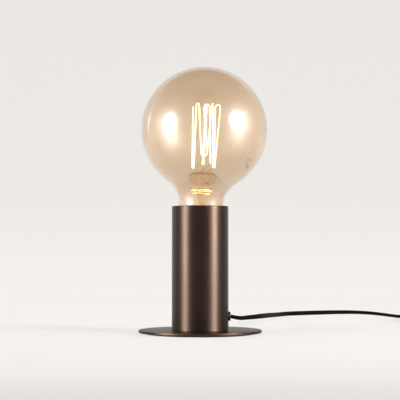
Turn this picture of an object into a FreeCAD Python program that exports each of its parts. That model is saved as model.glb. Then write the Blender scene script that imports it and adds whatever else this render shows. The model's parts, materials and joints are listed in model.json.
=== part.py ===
"""Bare bulb table lamp: a steel tube on a round base, a globe lamp and its mains cord.

Millimetres, +Z up. The origin is on the tube's axis, in the plane the lamp stands on.
The cord leaves the tube towards +X.
"""
import FreeCAD
import Part
import math
import os

V = FreeCAD.Vector
X_AXIS, Y_AXIS, Z_AXIS = V(1, 0, 0), V(0, 1, 0), V(0, 0, 1)
ORIGIN = V(0, 0, 0)
tiny = 0.01               # edges nearer than this to a level lie on it
nothing = 1e-9            # lengths under this count as none
tangent_step = 1e-4       # turns either way over which the coil's tangent is taken
gap_samples = 9           # points on each arc of the coil, for its least gap
gap_apart = 6             # diameters along the wire from which a gap counts
run_share = 0.45          # share of the shorter run that an arc of a route takes

# ---- driving dimensions ---------------------------------------------------------------
# Clearances
fit_gap = 0.05            # between pieces that are fastened together
move_gap = 0.3            # between pieces that move against each other
pivot_gap = 0.06          # radial play of the rocker's axle
thread_gap = 0.25         # radial play of the lamp cap in the screw shell
past = 1.0                # how far a cutting shape runs past the face it cuts

# Base
pad_thickness = 1.2
pad_inset = 6.75          # the pad's edge inside the disc's edge
base_diameter = 121.5
base_thickness = 2.5
base_edge_radius = 0.4
base_screw_count = 3
base_screw_circle = 20.0  # radius of the screws' circle
base_screw_radius = 2.0
base_screw_head_radius = 3.7
base_screw_length = 5.0
hex_socket_flats = 2.8
hex_socket_depth = 1.2

# Tube and its flange
tube_diameter = 56.0
tube_wall = 1.5
tube_height = 122.0
tube_lip_radius = 0.5
flange_thickness = 3.0
flange_bore_radius = 8.0

# Holder bracket
bracket_sheet = 1.5
bracket_width = 18.0
bracket_gap = 30.0        # between the two legs
bracket_foot = 7.0
bracket_height = 47.3     # flange face to the face that carries the lampholder
bracket_screw_radius = 1.5
bracket_screw_head_radius = 2.7
bracket_screw_head = 2.0
bracket_screw_length = 4.0
bracket_screw_rounding = 0.9
screw_slot_width = 0.6

# Hollow threaded nipple with its nut and washer
nipple_radius = 5.0
nipple_bore_radius = 3.75
nipple_above = 6.5        # length above the bracket
nipple_below = 6.5        # length below the bracket's top face
nut_flats = 14.0
nut_thickness = 3.0
washer_radius = 8.5
washer_thickness = 1.0

# Lampholder
holder_radius = 18.0
holder_height = 54.0
dome_collar_radius = 16.0
dome_skirt = 8.0
dome_height = 24.0
dome_wall = 2.0
dome_floor = 3.0
dome_boss_radius = 8.0
dome_boss_height = 6.0
dome_chamfer = 2.0
block_height = 8.0
block_rim = 1.9
shell_sheet = 0.4
shell_lip = 3.0
shell_edge_radius = 1.0
shell_tab_outset = 1.5    # the screw shell's tab, further out than its terminal's middle
shell_tab_margin = 0.25   # floor left inside the tab
terminal_offset = 9.0
terminal_length = 5.0
terminal_width = 6.0
terminal_height = 6.4
terminal_screw_radius = 1.3
terminal_screw_head_radius = 2.0
terminal_screw_head = 1.4
core_past_terminal = 1.6  # the core's end beyond the terminal's middle
contact_sheet = 0.5
contact_width = 5.0
contact_drop = 0.35       # air between the contact and the lamp's tip
contact_rise = 0.8        # air between the contact's foot and the block
contact_ramp_foot = 4.5
contact_pad = 2.2         # half length of the flat under the tip
contact_ramp_skew = 0.4   # keeps the ramp as thick as the sheet

# Lamp cap with its round thread
cap_height = 26.5         # tip to rim
cap_rim_above_holder = 3.0
cap_crest_radius = 13.2
cap_root_radius = 12.6
cap_skirt_radius = 13.3
cap_bore_radius = 12.25
cap_skirt = 7.0
cap_thread_pitch = 25.4 / 7
cap_thread_turns = 3.25
cap_bead_radius = 0.85
cap_chamfer = 1.6
cap_turn_in = 2.2         # wall turned in under the thread, to hold the insulator
cap_floor = 1.8
cap_foot_edge = 0.2
cap_thread_start = 2.6
tip_radius = 4.75
tip_height = 1.5
tip_rounding = 1.35
tip_seat = 0.5            # the tip's depth in the insulator
insulator_height = 3.1
insulator_shoulder = 1.2

# Globe envelope and its mount
globe_diameter = 125.0
globe_centre_above_rim = 90.8
glass_thickness = 0.9
neck_end_radius = 11.8
neck_radius = 21.8
neck_waist_above_rim = 16.0
neck_end_below_rim = 5.0
neck_start_above_rim = 1.0  # where the straight end turns into the neck's bulge
globe_lean = 2.45         # degrees towards +X: the glass is cemented a little crooked
lean_pivot_below_rim = 6.5
mount_lean = 0.8          # further degrees of the filament's rod
stem_foot_inside = 1.0    # the stem's rim above the envelope's
stem_outline = [(10.8, 0.0), (8.4, 3.5), (6.5, 8.0), (5.5, 13.0)]  # radius, height of the flare
stem_wall = 1.0
stem_height = 35.7        # flare rim to collar top
collar_height = 6.0
collar_outline = [(7.8, 0.0), (9.1, 0.8), (8.4, 2.2), (10.3, 3.4)]  # radius, height above its foot
collar_taper = 0.6
collar_floor = 2.0        # solid glass under the collar
cup_outline = [(10.8, 0.0), (12.0, 4.7), (13.2, 8.6), (14.0, 11.8), (13.8, 13.4), (12.9, 14.8), (11.3, 15.7)]
cup_wall = 0.8

# Filament cage
rod_radius = 1.1
rod_pin_radius = 0.45
rod_pin_length = 9.0
rod_length = 59.0
rod_bead_radius = 2.2
rod_bead_level = 1.5
rod_foot_sunk = 0.5
support_radius = 0.22
filament_radius = 0.4
cage_top_radius = 13.0
cage_foot_radius = 12.0
loop_rise = 2.4           # loop's crown beyond its two feet
cage_start = (-15.0, -0.054)  # the filament's ends: azimuth in degrees, level in rod lengths
cage_end = (307.0, 0.007)
cage_loops = [            # azimuth, level of the crown in rod lengths, half width over rise, heading
    (27.0, 1.034, 1.08, 180.0), (31.0, -0.036, 0.58, 121.0), (62.0, 1.063, 0.58, 110.0), (88.0, 0.159, 1.33, 178.0),
    (130.0, 1.049, 0.83, 220.0), (145.0, -0.068, 0.58, 235.0), (180.0, 0.956, 0.62, 270.0), (215.0, -0.075, 0.58, 305.0),
    (230.0, 1.005, 0.83, 320.0), (272.0, 0.129, 1.33, 2.0), (274.0, 0.988, 1.17, 4.0),
]
lead_wire_radius = 0.35
lead_wire_spread = 2.4
lead_wire_tail = 8.0      # below the stem's rim
lead_wire_bend = 1.2      # above the cup

# Cord entry
gland_height = 13.4       # cord axis above the disc's top face
gland_flange_radius = 4.5
gland_flange = 2.0
gland_sleeve_radius = 3.8
gland_sleeve_length = 8.0
gland_nut_flats = 11.0
gland_nut_face = 2.0
gland_edge = 0.6

# Flat twin cord, drawn as a round tube of its width
cord_diameter = 5.4
core_radius = 1.1
core_bend_radius = 2.5
inner_bend_radius = 12.0
inner_flex_top = 38.0     # sheath end above the flange
coil_pitch = 5.9          # between turns in one layer
coil_layer_step = 6.0
coil_outer_radius = 37.0
coil_turns = 5.5          # in and out again
coil_climb = 0.5          # turns over which it climbs a layer
coil_lead_in = 6.0        # straight end outside the turns
coil_lift = 1.3           # the tie's band lies under the turns
tie_sheet = 0.8
tie_width = 8.0
tie_corner = 1.6
tie_lap_start = 2.0
tie_lap_end = 3.0
tie_angle = 250.0

# Cord switch
switch_length = 60.0
switch_width = 24.0
switch_height = 15.0
switch_wall = 2.0
switch_corner = 4.0
switch_edge = 1.5
switch_foot_edge = 1.0
switch_grip = 3.0         # length of sheathed cord inside the shell
switch_joint = 2.0        # cover left over the screws' ends
rocker_length = 16.6
rocker_width = 9.0
rocker_axle_radius = 1.5
rocker_axle_height = 12.0
rocker_axle_length = 2.9
rocker_dish = 1.2
rocker_crest = 4.8        # rocker ends above the axle
rocker_foot = 1.5         # rocker underside below the axle
rocker_tilt = 8.0         # degrees either way from level
rocker_window_gap = 1.0
rocker_cheek = 3.2        # half length of the cheeks that carry the axle
rocker_cheek_drop = 3.0
rocker_contact_sheet = 0.5
rocker_contact_length = 15.0
rocker_contact_width = 5.0
switch_terminal_near = 12.5
switch_terminal_far = 18.5
switch_terminal_inner = 1.0
switch_terminal_outer = 7.0
switch_blade_end = 4.5
switch_blade_width = 2.0
switch_blade_sheet = 0.8
switch_core_drop = 1.2    # the terminals' bores below the cord's axis
switch_core_place = 2.4   # the terminals' bores beside the cord's axis
switch_bore_start = 19.5
switch_bore_end = 15.0
switch_screw_radius = 1.2
switch_screw_head_radius = 2.2
switch_screw_head = 1.6
switch_boss_radius = 3.4
switch_screw_place = (23.5, 7.0)

# Two-pin plug
plug_width = 35.3
plug_thickness = 13.7
plug_length = 37.0
plug_back_width = 12.0
plug_waist = 18.0
plug_neck = 20.0
plug_neck_radius = 3.8
plug_neck_root_radius = 5.2
plug_edge = 2.0
plug_neck_sunk = 3.0
pin_tip_radius = 1.0
pin_radius = 2.0
pin_length = 19.0
pin_spacing = 18.6
pin_root_radius = 1.5
pin_root = 8.0

# ---- levels and places worked out from the above --------------------------------------
disc_bottom = pad_thickness
disc_top = disc_bottom + base_thickness
flange_top = disc_top + flange_thickness
tube_top = disc_top + tube_height
tube_radius = tube_diameter / 2
tube_inner_radius = tube_radius - tube_wall
bracket_top = flange_top + bracket_height
holder_bottom = bracket_top
holder_top = holder_bottom + holder_height
dome_top = holder_bottom + dome_height
block_bottom = dome_top - block_height
block_top = dome_top + block_rim + fit_gap
strip_places = (-terminal_offset, terminal_offset + shell_tab_outset)
core_reach = terminal_offset + core_past_terminal
cap_rim = holder_top + cap_rim_above_holder
cap_tip = cap_rim - cap_height
globe_radius = globe_diameter / 2
globe_centre = cap_rim + globe_centre_above_rim
lean_pivot = V(0, 0, cap_rim - lean_pivot_below_rim)
stem_foot = cap_rim - neck_end_below_rim + stem_foot_inside
stem_radius = stem_outline[-1][0]
collar_top = stem_foot + stem_height
cup_foot = collar_top + fit_gap
cup_top = cup_foot + cup_outline[-1][1]
rod_foot = cup_top + rod_pin_length
gland_z = disc_top + gland_height
gland_face = tube_radius + gland_flange
cord_radius = cord_diameter / 2
cord_bore_radius = cord_radius + 2 * fit_gap

# Where the pieces on the cord lie: clear of one another, the plug beside the coil
switch_centre = V(257.0, 196.0, 0)
switch_inlet = 6.5
coil_centre = V(295.0, 118.0, 0)
coil_z = cord_radius + coil_lift
plug_place = V(335.0, 176.0, plug_thickness / 2)
switch_reach = switch_length / 2 - switch_grip
coil_left, coil_right = coil_centre.x - coil_outer_radius, coil_centre.x + coil_outer_radius
coil_gate = coil_centre.y + coil_lead_in
coil_top_z = coil_z + coil_layer_step

# Cord routes: out of the gland, back and down to the floor, to the right, then forward
lead_route = [
    V(gland_face, 0, gland_z), V(40.0, 0, gland_z), V(49.2, 3.8, 16.1), V(56.3, 10.9, 15.7),
    V(60.9, 22.0, 15.6), V(65.8, 46.0, 15.1), V(71.5, 90.0, 13.3), V(78.0, 142.0, 10.8),
    V(84.0, 197.0, 8.2), V(91.0, 250.0, 5.7), V(99.5, 300.0, 3.6), V(113.0, 338.0, 2.72),
    V(139.0, 363.0, 2.72), V(171.0, 377.0, 2.72), V(200.0, 378.0, 2.72), V(220.0, 361.0, 2.72),
    V(231.0, 332.0, 2.72), V(238.5, 303.0, 2.72), V(246.0, 276.0, 2.72), V(252.5, 256.0, 3.4),
    V(switch_centre.x, 239.6, switch_inlet),
    V(switch_centre.x, switch_centre.y + switch_reach, switch_inlet),
]
mid_route = [
    V(switch_centre.x, switch_centre.y - switch_reach, switch_inlet),
    V(switch_centre.x, 154.0, switch_inlet),
    V(coil_left, 138.0, coil_z), V(coil_left, coil_gate, coil_z),
]
tail_route = [
    V(coil_right, coil_gate, coil_top_z), V(coil_right, 136.0, coil_top_z), V(334.0, 150.0, 8.2),
    V(plug_place.x, 164.0, plug_place.z), plug_place,
]

# Cores in the switch, in its own frame: the one that runs through, and half of the switched one
core_near = core_radius + 2 * fit_gap
through_route = [
    V(-switch_reach, -core_near, switch_inlet), V(-22.0, -core_near, switch_inlet), V(-14.0, -7.0, 4.0),
    V(14.0, -7.0, 4.0), V(22.0, -core_near, switch_inlet), V(switch_reach, -core_near, switch_inlet),
]
switched_route = [
    V(switch_reach, core_near, switch_inlet), V(23.5, core_near, switch_inlet),
    V(20.5, switch_core_place, switch_inlet - switch_core_drop),
    V(16.0, switch_core_place, switch_inlet - switch_core_drop),
]
through_bend, switched_bend = 2.0, 1.8


# ---- small geometry helpers -----------------------------------------------------------
def cylinder(radius, bottom, top, x=0.0, y=0.0):
    """An upright cylinder between two levels."""
    return Part.makeCylinder(radius, top - bottom, V(x, y, bottom))


def ring(outer, inner, bottom, top):
    """An upright ring between two levels."""
    return cylinder(outer, bottom, top).cut(cylinder(inner, bottom - past, top + past))


def block(x0, x1, y0, y1, z0, z1):
    """A box from its lowest to its highest corner."""
    return Part.makeBox(x1 - x0, y1 - y0, z1 - z0, V(x0, y0, z0))


def hexagon(flats, bottom, top):
    """An upright hexagonal prism."""
    reach = flats / math.sqrt(3)
    corners = [V(reach * math.cos(math.radians(60 * i)), reach * math.sin(math.radians(60 * i)), bottom)
               for i in range(7)]
    return Part.Face(Part.makePolygon(corners)).extrude(V(0, 0, top - bottom))


def turned(corners):
    """A solid of revolution about Z from (radius, level) corners, closed along the list."""
    points = [V(r, 0, z) for r, z in corners]
    face = Part.Face(Part.makePolygon(points + [points[0]]))
    return face.revolve(ORIGIN, Z_AXIS, 360)


def around_z(shape, degrees):
    """A copy of the shape turned about Z."""
    copy = shape.copy()
    copy.rotate(ORIGIN, Z_AXIS, degrees)
    return copy


def along_x(shape, level):
    """A copy of an upright shape laid along +X at the given level."""
    copy = shape.copy()
    copy.rotate(ORIGIN, Y_AXIS, 90)
    copy.translate(V(0, 0, level))
    return copy


def leaned(shape):
    """The shape leaned with the glass, about the pivot in the cap."""
    copy = shape.copy()
    copy.rotate(lean_pivot, Y_AXIS, globe_lean)
    return copy


def mounted(shape):
    """The shape leaned with the filament's rod, on top of the glass's own lean."""
    copy = shape.copy()
    copy.rotate(V(0, 0, cup_top), Y_AXIS, mount_lean)
    return leaned(copy)


def rod_between(a, b, radius):
    """A round rod from one point to another."""
    return Part.makeCylinder(radius, (b - a).Length, a, b - a)


def edges_along(shape, axis):
    """The straight edges that run along an axis."""
    return [e for e in shape.Edges if abs(e.tangentAt(e.FirstParameter).dot(axis)) > 1 - tiny]


def circles(shape, level):
    """The round edges at a level."""
    rounds = [e for e in shape.Edges if e.Curve.TypeId == "Part::GeomCircle"]
    return [e for e in rounds if abs(e.CenterOfMass.z - level) < tiny]


def arc_from(start, tangent, end):
    """The arc that leaves start along tangent and reaches end."""
    chord = end - start
    side = chord - tangent * chord.dot(tangent)
    if side.Length < nothing:
        return Part.LineSegment(start, end).toShape()
    inward = side.normalize()
    radius = chord.dot(chord) / (2 * chord.dot(inward))
    centre = start + inward * radius
    middle = (start + end) * 0.5 - centre
    if middle.Length < nothing:
        middle = tangent
    elif chord.dot(tangent) < 0:
        middle = middle * -1
    return Part.Arc(start, centre + middle.normalize() * radius, end).toShape()


def biarc(start, start_tangent, end, end_tangent):
    """Two arcs that join two points with the given unit tangents."""
    across = end - start
    total = start_tangent + end_tangent
    spare = 2 * (1 - start_tangent.dot(end_tangent))
    along = across.dot(total)
    if spare < nothing:
        reach = across.dot(across) / (4 * across.dot(end_tangent))
    else:
        reach = (-along + math.sqrt(along ** 2 + spare * across.dot(across))) / spare
    joint = (start + start_tangent * reach + end - end_tangent * reach) * 0.5
    last = arc_from(end, end_tangent * -1, joint)
    return [arc_from(start, start_tangent, joint), last]


def sweep(edges, radius, start, direction):
    """One unbroken round tube along the edges."""
    spine = Part.Wire(Part.__sortEdges__(edges))
    circle = Part.Wire(Part.Circle(start, direction, radius).toShape())
    tube = Part.BRepOffsetAPI.MakePipeShell(spine)
    tube.add(circle)
    tube.build()
    tube.makeSolid()
    solid = tube.shape()
    expected = math.pi * radius ** 2 * spine.Length
    print("  tube length %.1f, volume / (section x length) %.4f" % (spine.Length, solid.Volume / expected))
    return solid


def route_edges(points, radius=None):
    """Straight runs joined by tangent arcs, each as large as its two runs allow."""
    edges = []
    last = points[0]
    radii = []
    for before, corner, after in zip(points, points[1:], points[2:]):
        arriving, leaving = corner - before, after - corner
        turn = arriving.getAngle(leaving)
        setback = run_share * min(arriving.Length, leaving.Length)
        if radius is not None:
            setback = radius * math.tan(turn / 2)
        radii.append(setback / math.tan(turn / 2))
        start = corner - arriving.normalize() * setback
        end = corner + leaving.normalize() * setback
        middle = (start + end) * 0.5
        bulge = radii[-1] * (1 / math.cos(turn / 2) - 1)
        crown = corner + (middle - corner).normalize() * bulge
        edges.append(Part.LineSegment(last, start).toShape())
        edges.append(Part.Arc(start, crown, end).toShape())
        last = end
    edges.append(Part.LineSegment(last, points[-1]).toShape())
    print("  radii", [round(r) for r in radii])
    return edges


def route_tube(points, tube_radius_, radius=None):
    """A round tube along a route."""
    return sweep(route_edges(points, radius), tube_radius_, points[0], points[1] - points[0])


# ---- base -----------------------------------------------------------------------------
def base_screw_places():
    """Centres of the screws that hold the disc to the tube's flange."""
    step = 360.0 / base_screw_count
    return [(base_screw_circle * math.cos(math.radians(step * i)),
             base_screw_circle * math.sin(math.radians(step * i))) for i in range(base_screw_count)]


def base_pad():
    return cylinder(base_diameter / 2 - pad_inset, 0, pad_thickness)


def screw_head_cone(gap):
    """The base screw's countersunk head, grown by a gap."""
    radius = base_screw_head_radius + gap
    height = base_screw_head_radius - base_screw_radius
    return Part.makeCone(radius, radius - height, height, V(0, 0, disc_bottom))


def base_disc():
    disc = cylinder(base_diameter / 2, disc_bottom, disc_top)
    disc = disc.makeFillet(base_edge_radius, [e for e in disc.Edges if e.Curve.TypeId == "Part::GeomCircle"])
    for x, y in base_screw_places():
        disc = disc.cut(cylinder(base_screw_radius + fit_gap, disc_bottom - past, disc_top + past, x, y))
        sink = screw_head_cone(fit_gap)
        sink.translate(V(x, y, 0))
        disc = disc.cut(sink)
    return disc


def base_screws():
    socket = hexagon(hex_socket_flats, disc_bottom - past, disc_bottom + hex_socket_depth)
    shank = cylinder(base_screw_radius, disc_bottom, disc_bottom + base_screw_length)
    screw = screw_head_cone(0).fuse(shank).cut(socket)
    return Part.makeCompound([screw.translated(V(x, y, 0)) for x, y in base_screw_places()])


# ---- tube -----------------------------------------------------------------------------
def bracket_screw_places():
    reach = bracket_gap / 2 + bracket_sheet + bracket_foot / 2
    return [(0.0, reach), (0.0, -reach)]


def tube_flange():
    plate = ring(tube_inner_radius - fit_gap, flange_bore_radius, disc_top, flange_top)
    for x, y in base_screw_places():
        plate = plate.cut(cylinder(base_screw_radius + fit_gap, disc_top - past, flange_top + past, x, y))
    for x, y in bracket_screw_places():
        plate = plate.cut(cylinder(bracket_screw_radius + fit_gap, disc_top - past, flange_top + past, x, y))
    return plate


def lamp_tube():
    tube = ring(tube_radius, tube_inner_radius, disc_top, tube_top)
    tube = tube.makeFillet(tube_lip_radius, circles(tube, tube_top))
    entry = along_x(cylinder(gland_sleeve_radius + fit_gap, 0, tube_radius + past), gland_z)
    return tube.cut(entry)


# ---- holder bracket and nipple --------------------------------------------------------
def holder_bracket():
    half_gap, half_width = bracket_gap / 2, bracket_width / 2
    outside = half_gap + bracket_sheet
    bracket = block(-half_width, half_width, -outside, outside, flange_top, bracket_top)
    bracket = bracket.cut(block(-half_width - past, half_width + past, -half_gap, half_gap,
                                flange_top - past, bracket_top - bracket_sheet))
    for side in (1, -1):
        ends = sorted((side * outside, side * (outside + bracket_foot)))
        bracket = bracket.fuse(block(-half_width, half_width, ends[0], ends[1],
                                     flange_top, flange_top + bracket_sheet))
    bracket = bracket.removeSplitter()
    for x, y in bracket_screw_places():
        bracket = bracket.cut(cylinder(bracket_screw_radius + fit_gap, flange_top - past,
                                       flange_top + bracket_sheet + past, x, y))
    under = bracket_top - bracket_sheet
    return bracket.cut(cylinder(nipple_radius + fit_gap, under - past, bracket_top + past))


def bracket_screws():
    seat = flange_top + bracket_sheet
    screw = cylinder(bracket_screw_radius, seat - bracket_screw_length, seat)
    head = cylinder(bracket_screw_head_radius, seat, seat + bracket_screw_head)
    head = head.makeFillet(bracket_screw_rounding, circles(head, seat + bracket_screw_head))
    slot = block(-bracket_screw_head_radius, bracket_screw_head_radius, -screw_slot_width / 2,
                 screw_slot_width / 2, seat + bracket_screw_head / 2, seat + bracket_screw_head + past)
    screw = screw.fuse(head).cut(slot)
    return Part.makeCompound([screw.translated(V(x, y, 0)) for x, y in bracket_screw_places()])


def nipple():
    return ring(nipple_radius, nipple_bore_radius, bracket_top - nipple_below, bracket_top + nipple_above)


def nipple_washer():
    top = bracket_top - bracket_sheet
    return ring(washer_radius, nipple_radius + fit_gap, top - washer_thickness, top)


def nipple_nut():
    top = bracket_top - bracket_sheet - washer_thickness
    nut = hexagon(nut_flats, top - nut_thickness, top)
    return nut.cut(cylinder(nipple_radius + fit_gap, top - nut_thickness - past, top + past))


# ---- lampholder -----------------------------------------------------------------------
def holder_dome():
    outer = turned([(0, holder_bottom), (holder_radius - dome_chamfer, holder_bottom),
                    (holder_radius, holder_bottom + dome_chamfer),
                    (holder_radius, holder_bottom + dome_skirt),
                    (dome_collar_radius, holder_bottom + dome_skirt), (dome_collar_radius, dome_top),
                    (0, dome_top)])
    cavity = cylinder(dome_collar_radius - dome_wall, holder_bottom + dome_floor, dome_top + past)
    boss = cylinder(dome_boss_radius, holder_bottom + dome_floor / 2, holder_bottom + dome_boss_height)
    thread = cylinder(nipple_radius + fit_gap, holder_bottom - past, dome_top)
    return outer.cut(cavity).fuse(boss).cut(thread)


def contact_slot(place):
    """The slot in the terminal block for a contact strip at the given x."""
    half, wide = contact_sheet / 2 + 2 * fit_gap, contact_width / 2 + 2 * fit_gap
    return block(place - half, place + half, -wide, wide, block_bottom - past, block_top + past)


def terminal_block():
    insert = cylinder(dome_collar_radius - dome_wall - 2 * fit_gap, block_bottom, dome_top + fit_gap)
    insert = insert.fuse(cylinder(dome_collar_radius, dome_top + fit_gap, block_top))
    insert = insert.removeSplitter()
    for place in strip_places:
        insert = insert.cut(contact_slot(place))
    return insert


def holder_terminals():
    top = block_bottom
    blocks = []
    for side in (-1, 1):
        centre = side * terminal_offset
        body = block(centre - terminal_length / 2, centre + terminal_length / 2,
                     -terminal_width / 2, terminal_width / 2, top - terminal_height, top)
        level = top - terminal_height / 2
        wire_hole = rod_between(V(0, 0, level), V(side * core_reach, 0, level), core_radius + fit_gap)
        screw_hole = rod_between(V(centre, 0, level), V(centre, terminal_width, level),
                                 terminal_screw_radius + fit_gap)
        blocks.append(body.cut(wire_hole).cut(screw_hole))
    return Part.makeCompound(blocks)


def terminal_screws():
    level = block_bottom - terminal_height / 2
    face = terminal_width / 2
    screws = []
    for side in (-1, 1):
        centre = side * terminal_offset
        shank = rod_between(V(centre, core_near, level), V(centre, face + terminal_screw_head / 2, level),
                            terminal_screw_radius)
        head = rod_between(V(centre, face + fit_gap, level), V(centre, face + terminal_screw_head, level),
                           terminal_screw_head_radius)
        slot = block(centre - terminal_screw_head_radius, centre + terminal_screw_head_radius,
                     face + terminal_screw_head / 2, face + terminal_screw_head + past,
                     level - screw_slot_width / 2, level + screw_slot_width / 2)
        screws.append(shank.fuse(head).cut(slot))
    return Part.makeCompound(screws)


def screw_shell_bore():
    return cap_crest_radius + thread_gap


def screw_shell():
    bore = screw_shell_bore()
    outside = bore + shell_sheet
    sleeve = ring(outside, bore, block_top, holder_top - shell_lip - fit_gap)
    place = strip_places[1]
    floor = ring(outside, place - contact_sheet / 2 - shell_tab_margin, block_top, block_top + shell_sheet)
    tab = block(place - contact_sheet / 2, place + contact_sheet / 2, -contact_width / 2, contact_width / 2,
                block_bottom, block_top + shell_sheet)
    return sleeve.fuse(floor).fuse(tab).removeSplitter()


def holder_shell():
    bottom = holder_bottom + dome_skirt + 2 * fit_gap
    ledge = block_top + 2 * fit_gap
    shell_outside = screw_shell_bore() + shell_sheet
    body = cylinder(holder_radius, bottom, holder_top)
    body = body.makeFillet(shell_edge_radius, circles(body, holder_top))
    body = body.cut(cylinder(dome_collar_radius + 2 * fit_gap, bottom - past, ledge))
    body = body.cut(cylinder(shell_outside + fit_gap, ledge - past, holder_top - shell_lip))
    return body.cut(cylinder(cap_skirt_radius + move_gap, holder_top - shell_lip - past, holder_top + past))


def centre_contact():
    """A bent strip from the live terminal up to just under the lamp's tip."""
    half = contact_sheet / 2
    place = strip_places[0]
    low = block_top + contact_rise
    high = cap_tip - contact_drop
    corners = [(place - half, block_bottom), (place + half, block_bottom), (place + half, low),
               (-contact_ramp_foot, low), (-contact_pad, high - contact_sheet),
               (contact_pad, high - contact_sheet), (contact_pad, high),
               (-contact_pad - contact_ramp_skew, high),
               (-contact_ramp_foot - contact_ramp_skew, low + contact_sheet),
               (place - half, low + contact_sheet)]
    points = [V(x, -contact_width / 2, z) for x, z in corners]
    face = Part.Face(Part.makePolygon(points + [points[0]]))
    return face.extrude(V(0, contact_width, 0))


# ---- cord entry and inner wiring ------------------------------------------------------
def gland_body():
    sleeve = cylinder(gland_sleeve_radius, gland_face - gland_flange - gland_sleeve_length, gland_face)
    flange = cylinder(gland_flange_radius, tube_radius - gland_flange / 2, gland_face)
    flange = flange.makeFillet(gland_edge, circles(flange, gland_face))
    body = sleeve.fuse(seated_on_tube(flange))
    return along_x(body, gland_z).cut(along_x(cylinder(cord_bore_radius, 0, gland_face + past), gland_z))


def seated_on_tube(flange):
    """The flange with its back hollowed to lie on the round tube."""
    reach = 2 * gland_flange_radius
    return flange.cut(rod_between(V(-reach, 0, 0), V(reach, 0, 0), tube_radius + fit_gap))


def gland_nut():
    outer = math.sqrt(tube_inner_radius ** 2 - (gland_nut_flats / math.sqrt(3)) ** 2) - fit_gap
    seat = gland_face - gland_flange - gland_sleeve_length - fit_gap
    nut = hexagon(gland_nut_flats, seat - gland_nut_face, outer)
    nut = nut.cut(cylinder(gland_sleeve_radius + fit_gap, seat, outer + past))
    nut = nut.cut(cylinder(cord_bore_radius, seat - gland_nut_face - past, outer))
    return along_x(nut, gland_z)


def inner_flex():
    route = [V(gland_face, 0, gland_z), V(0, 0, gland_z), V(0, 0, flange_top + inner_flex_top)]
    return route_tube(route, cord_radius, inner_bend_radius)


def core_wires():
    """Both cores, from the sheath's end through the nipple into the two terminals."""
    start = flange_top + inner_flex_top
    level = block_bottom - terminal_height / 2
    wires = []
    for side in (-1, 1):
        near = side * core_near
        points = [V(near, 0, start), V(near, 0, level), V(side * core_reach, 0, level)]
        wires.append(route_tube(points, core_radius, core_bend_radius))
    return Part.makeCompound(wires)


# ---- lamp -----------------------------------------------------------------------------
def bulb_tip():
    button = cylinder(tip_radius, cap_tip, cap_tip + tip_height + tip_seat)
    return button.makeFillet(tip_rounding, circles(button, cap_tip))


def insulator_levels():
    bottom = cap_tip + tip_height
    return bottom, bottom + insulator_height


def bulb_insulator():
    bottom, top = insulator_levels()
    body = turned([(0, bottom), (tip_radius + insulator_shoulder, bottom),
                   (cap_root_radius - cap_chamfer, top), (0, top)])
    return body.cut(cylinder(tip_radius + fit_gap, bottom - past, bottom + tip_seat + fit_gap))


def cap_thread_bead(bottom):
    """The rolled round thread, as a bead along a right-hand helix."""
    height = cap_thread_turns * cap_thread_pitch
    centre = cap_crest_radius - cap_bead_radius
    helix = Part.makeHelix(cap_thread_pitch, height, centre)
    helix.translate(V(0, 0, bottom))
    circle = Part.Wire(Part.Circle(V(centre, 0, bottom), Y_AXIS, cap_bead_radius).toShape())
    return Part.Wire(helix).makePipeShell([circle], True, True)


def bulb_cap():
    foot = insulator_levels()[1] + move_gap
    skirt = cap_rim - cap_skirt
    inside = cap_root_radius - cap_turn_in
    wall = turned([(cap_root_radius - cap_chamfer, foot), (cap_root_radius, foot + cap_chamfer),
                   (cap_root_radius, skirt), (cap_skirt_radius, skirt + cap_skirt_radius - cap_root_radius),
                   (cap_skirt_radius, cap_rim), (cap_bore_radius, cap_rim),
                   (cap_bore_radius, foot + cap_floor), (inside, foot + cap_foot_edge), (inside, foot)])
    bead = cap_thread_bead(foot + cap_thread_start)
    hollow = cylinder(cap_bore_radius, foot + cap_floor, cap_rim + past)
    return wall.fuse(bead.cut(hollow))


def globe_profile(inset, foot):
    """Half outline of the envelope, moved inwards by an inset, closed along the axis."""
    radius = globe_radius - inset
    waist = cap_rim + neck_waist_above_rim
    # the hollow curve between neck and globe, tangent to both
    drop = globe_centre - waist
    hollow = (drop ** 2 + neck_radius ** 2 - globe_radius ** 2) / (2 * (globe_radius - neck_radius))
    hollow_centre = V(neck_radius + hollow, 0, waist)
    towards = (hollow_centre - V(0, 0, globe_centre)).normalize()
    meet = V(0, 0, globe_centre) + towards * radius
    # the bulge from the cap's rim up to the waist
    rise = waist - cap_rim - neck_start_above_rim
    step = neck_radius - neck_end_radius
    bulge = (rise ** 2 + step ** 2) / (2 * step)
    bulge_centre = V(neck_radius - bulge, 0, waist)
    low = math.atan2(-rise, neck_end_radius - bulge_centre.x)

    def on_bulge(angle):
        reach = bulge - inset
        return bulge_centre + V(reach * math.cos(angle), 0, reach * math.sin(angle))

    def on_hollow(direction):
        return hollow_centre + direction.normalize() * (hollow + inset)

    bottom, top = V(neck_end_radius - inset, 0, foot), V(0, 0, globe_centre + radius)
    side = V(radius, 0, globe_centre)
    waist_point = V(neck_radius - inset, 0, waist)
    edges = [
        Part.LineSegment(V(0, 0, foot), bottom).toShape(),
        Part.LineSegment(bottom, on_bulge(low)).toShape(),
        Part.Arc(on_bulge(low), on_bulge(low / 2), waist_point).toShape(),
        Part.Arc(waist_point, on_hollow((meet - hollow_centre).normalize() + V(-1, 0, 0)), meet).toShape(),
        Part.Arc(meet, side, top).toShape(),
        Part.LineSegment(top, V(0, 0, foot)).toShape(),
    ]
    return Part.Face(Part.Wire(edges)).revolve(ORIGIN, Z_AXIS, 360)


def bulb_glass():
    foot = cap_rim - neck_end_below_rim
    return leaned(globe_profile(0, foot).cut(globe_profile(glass_thickness, foot - past)))


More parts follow.
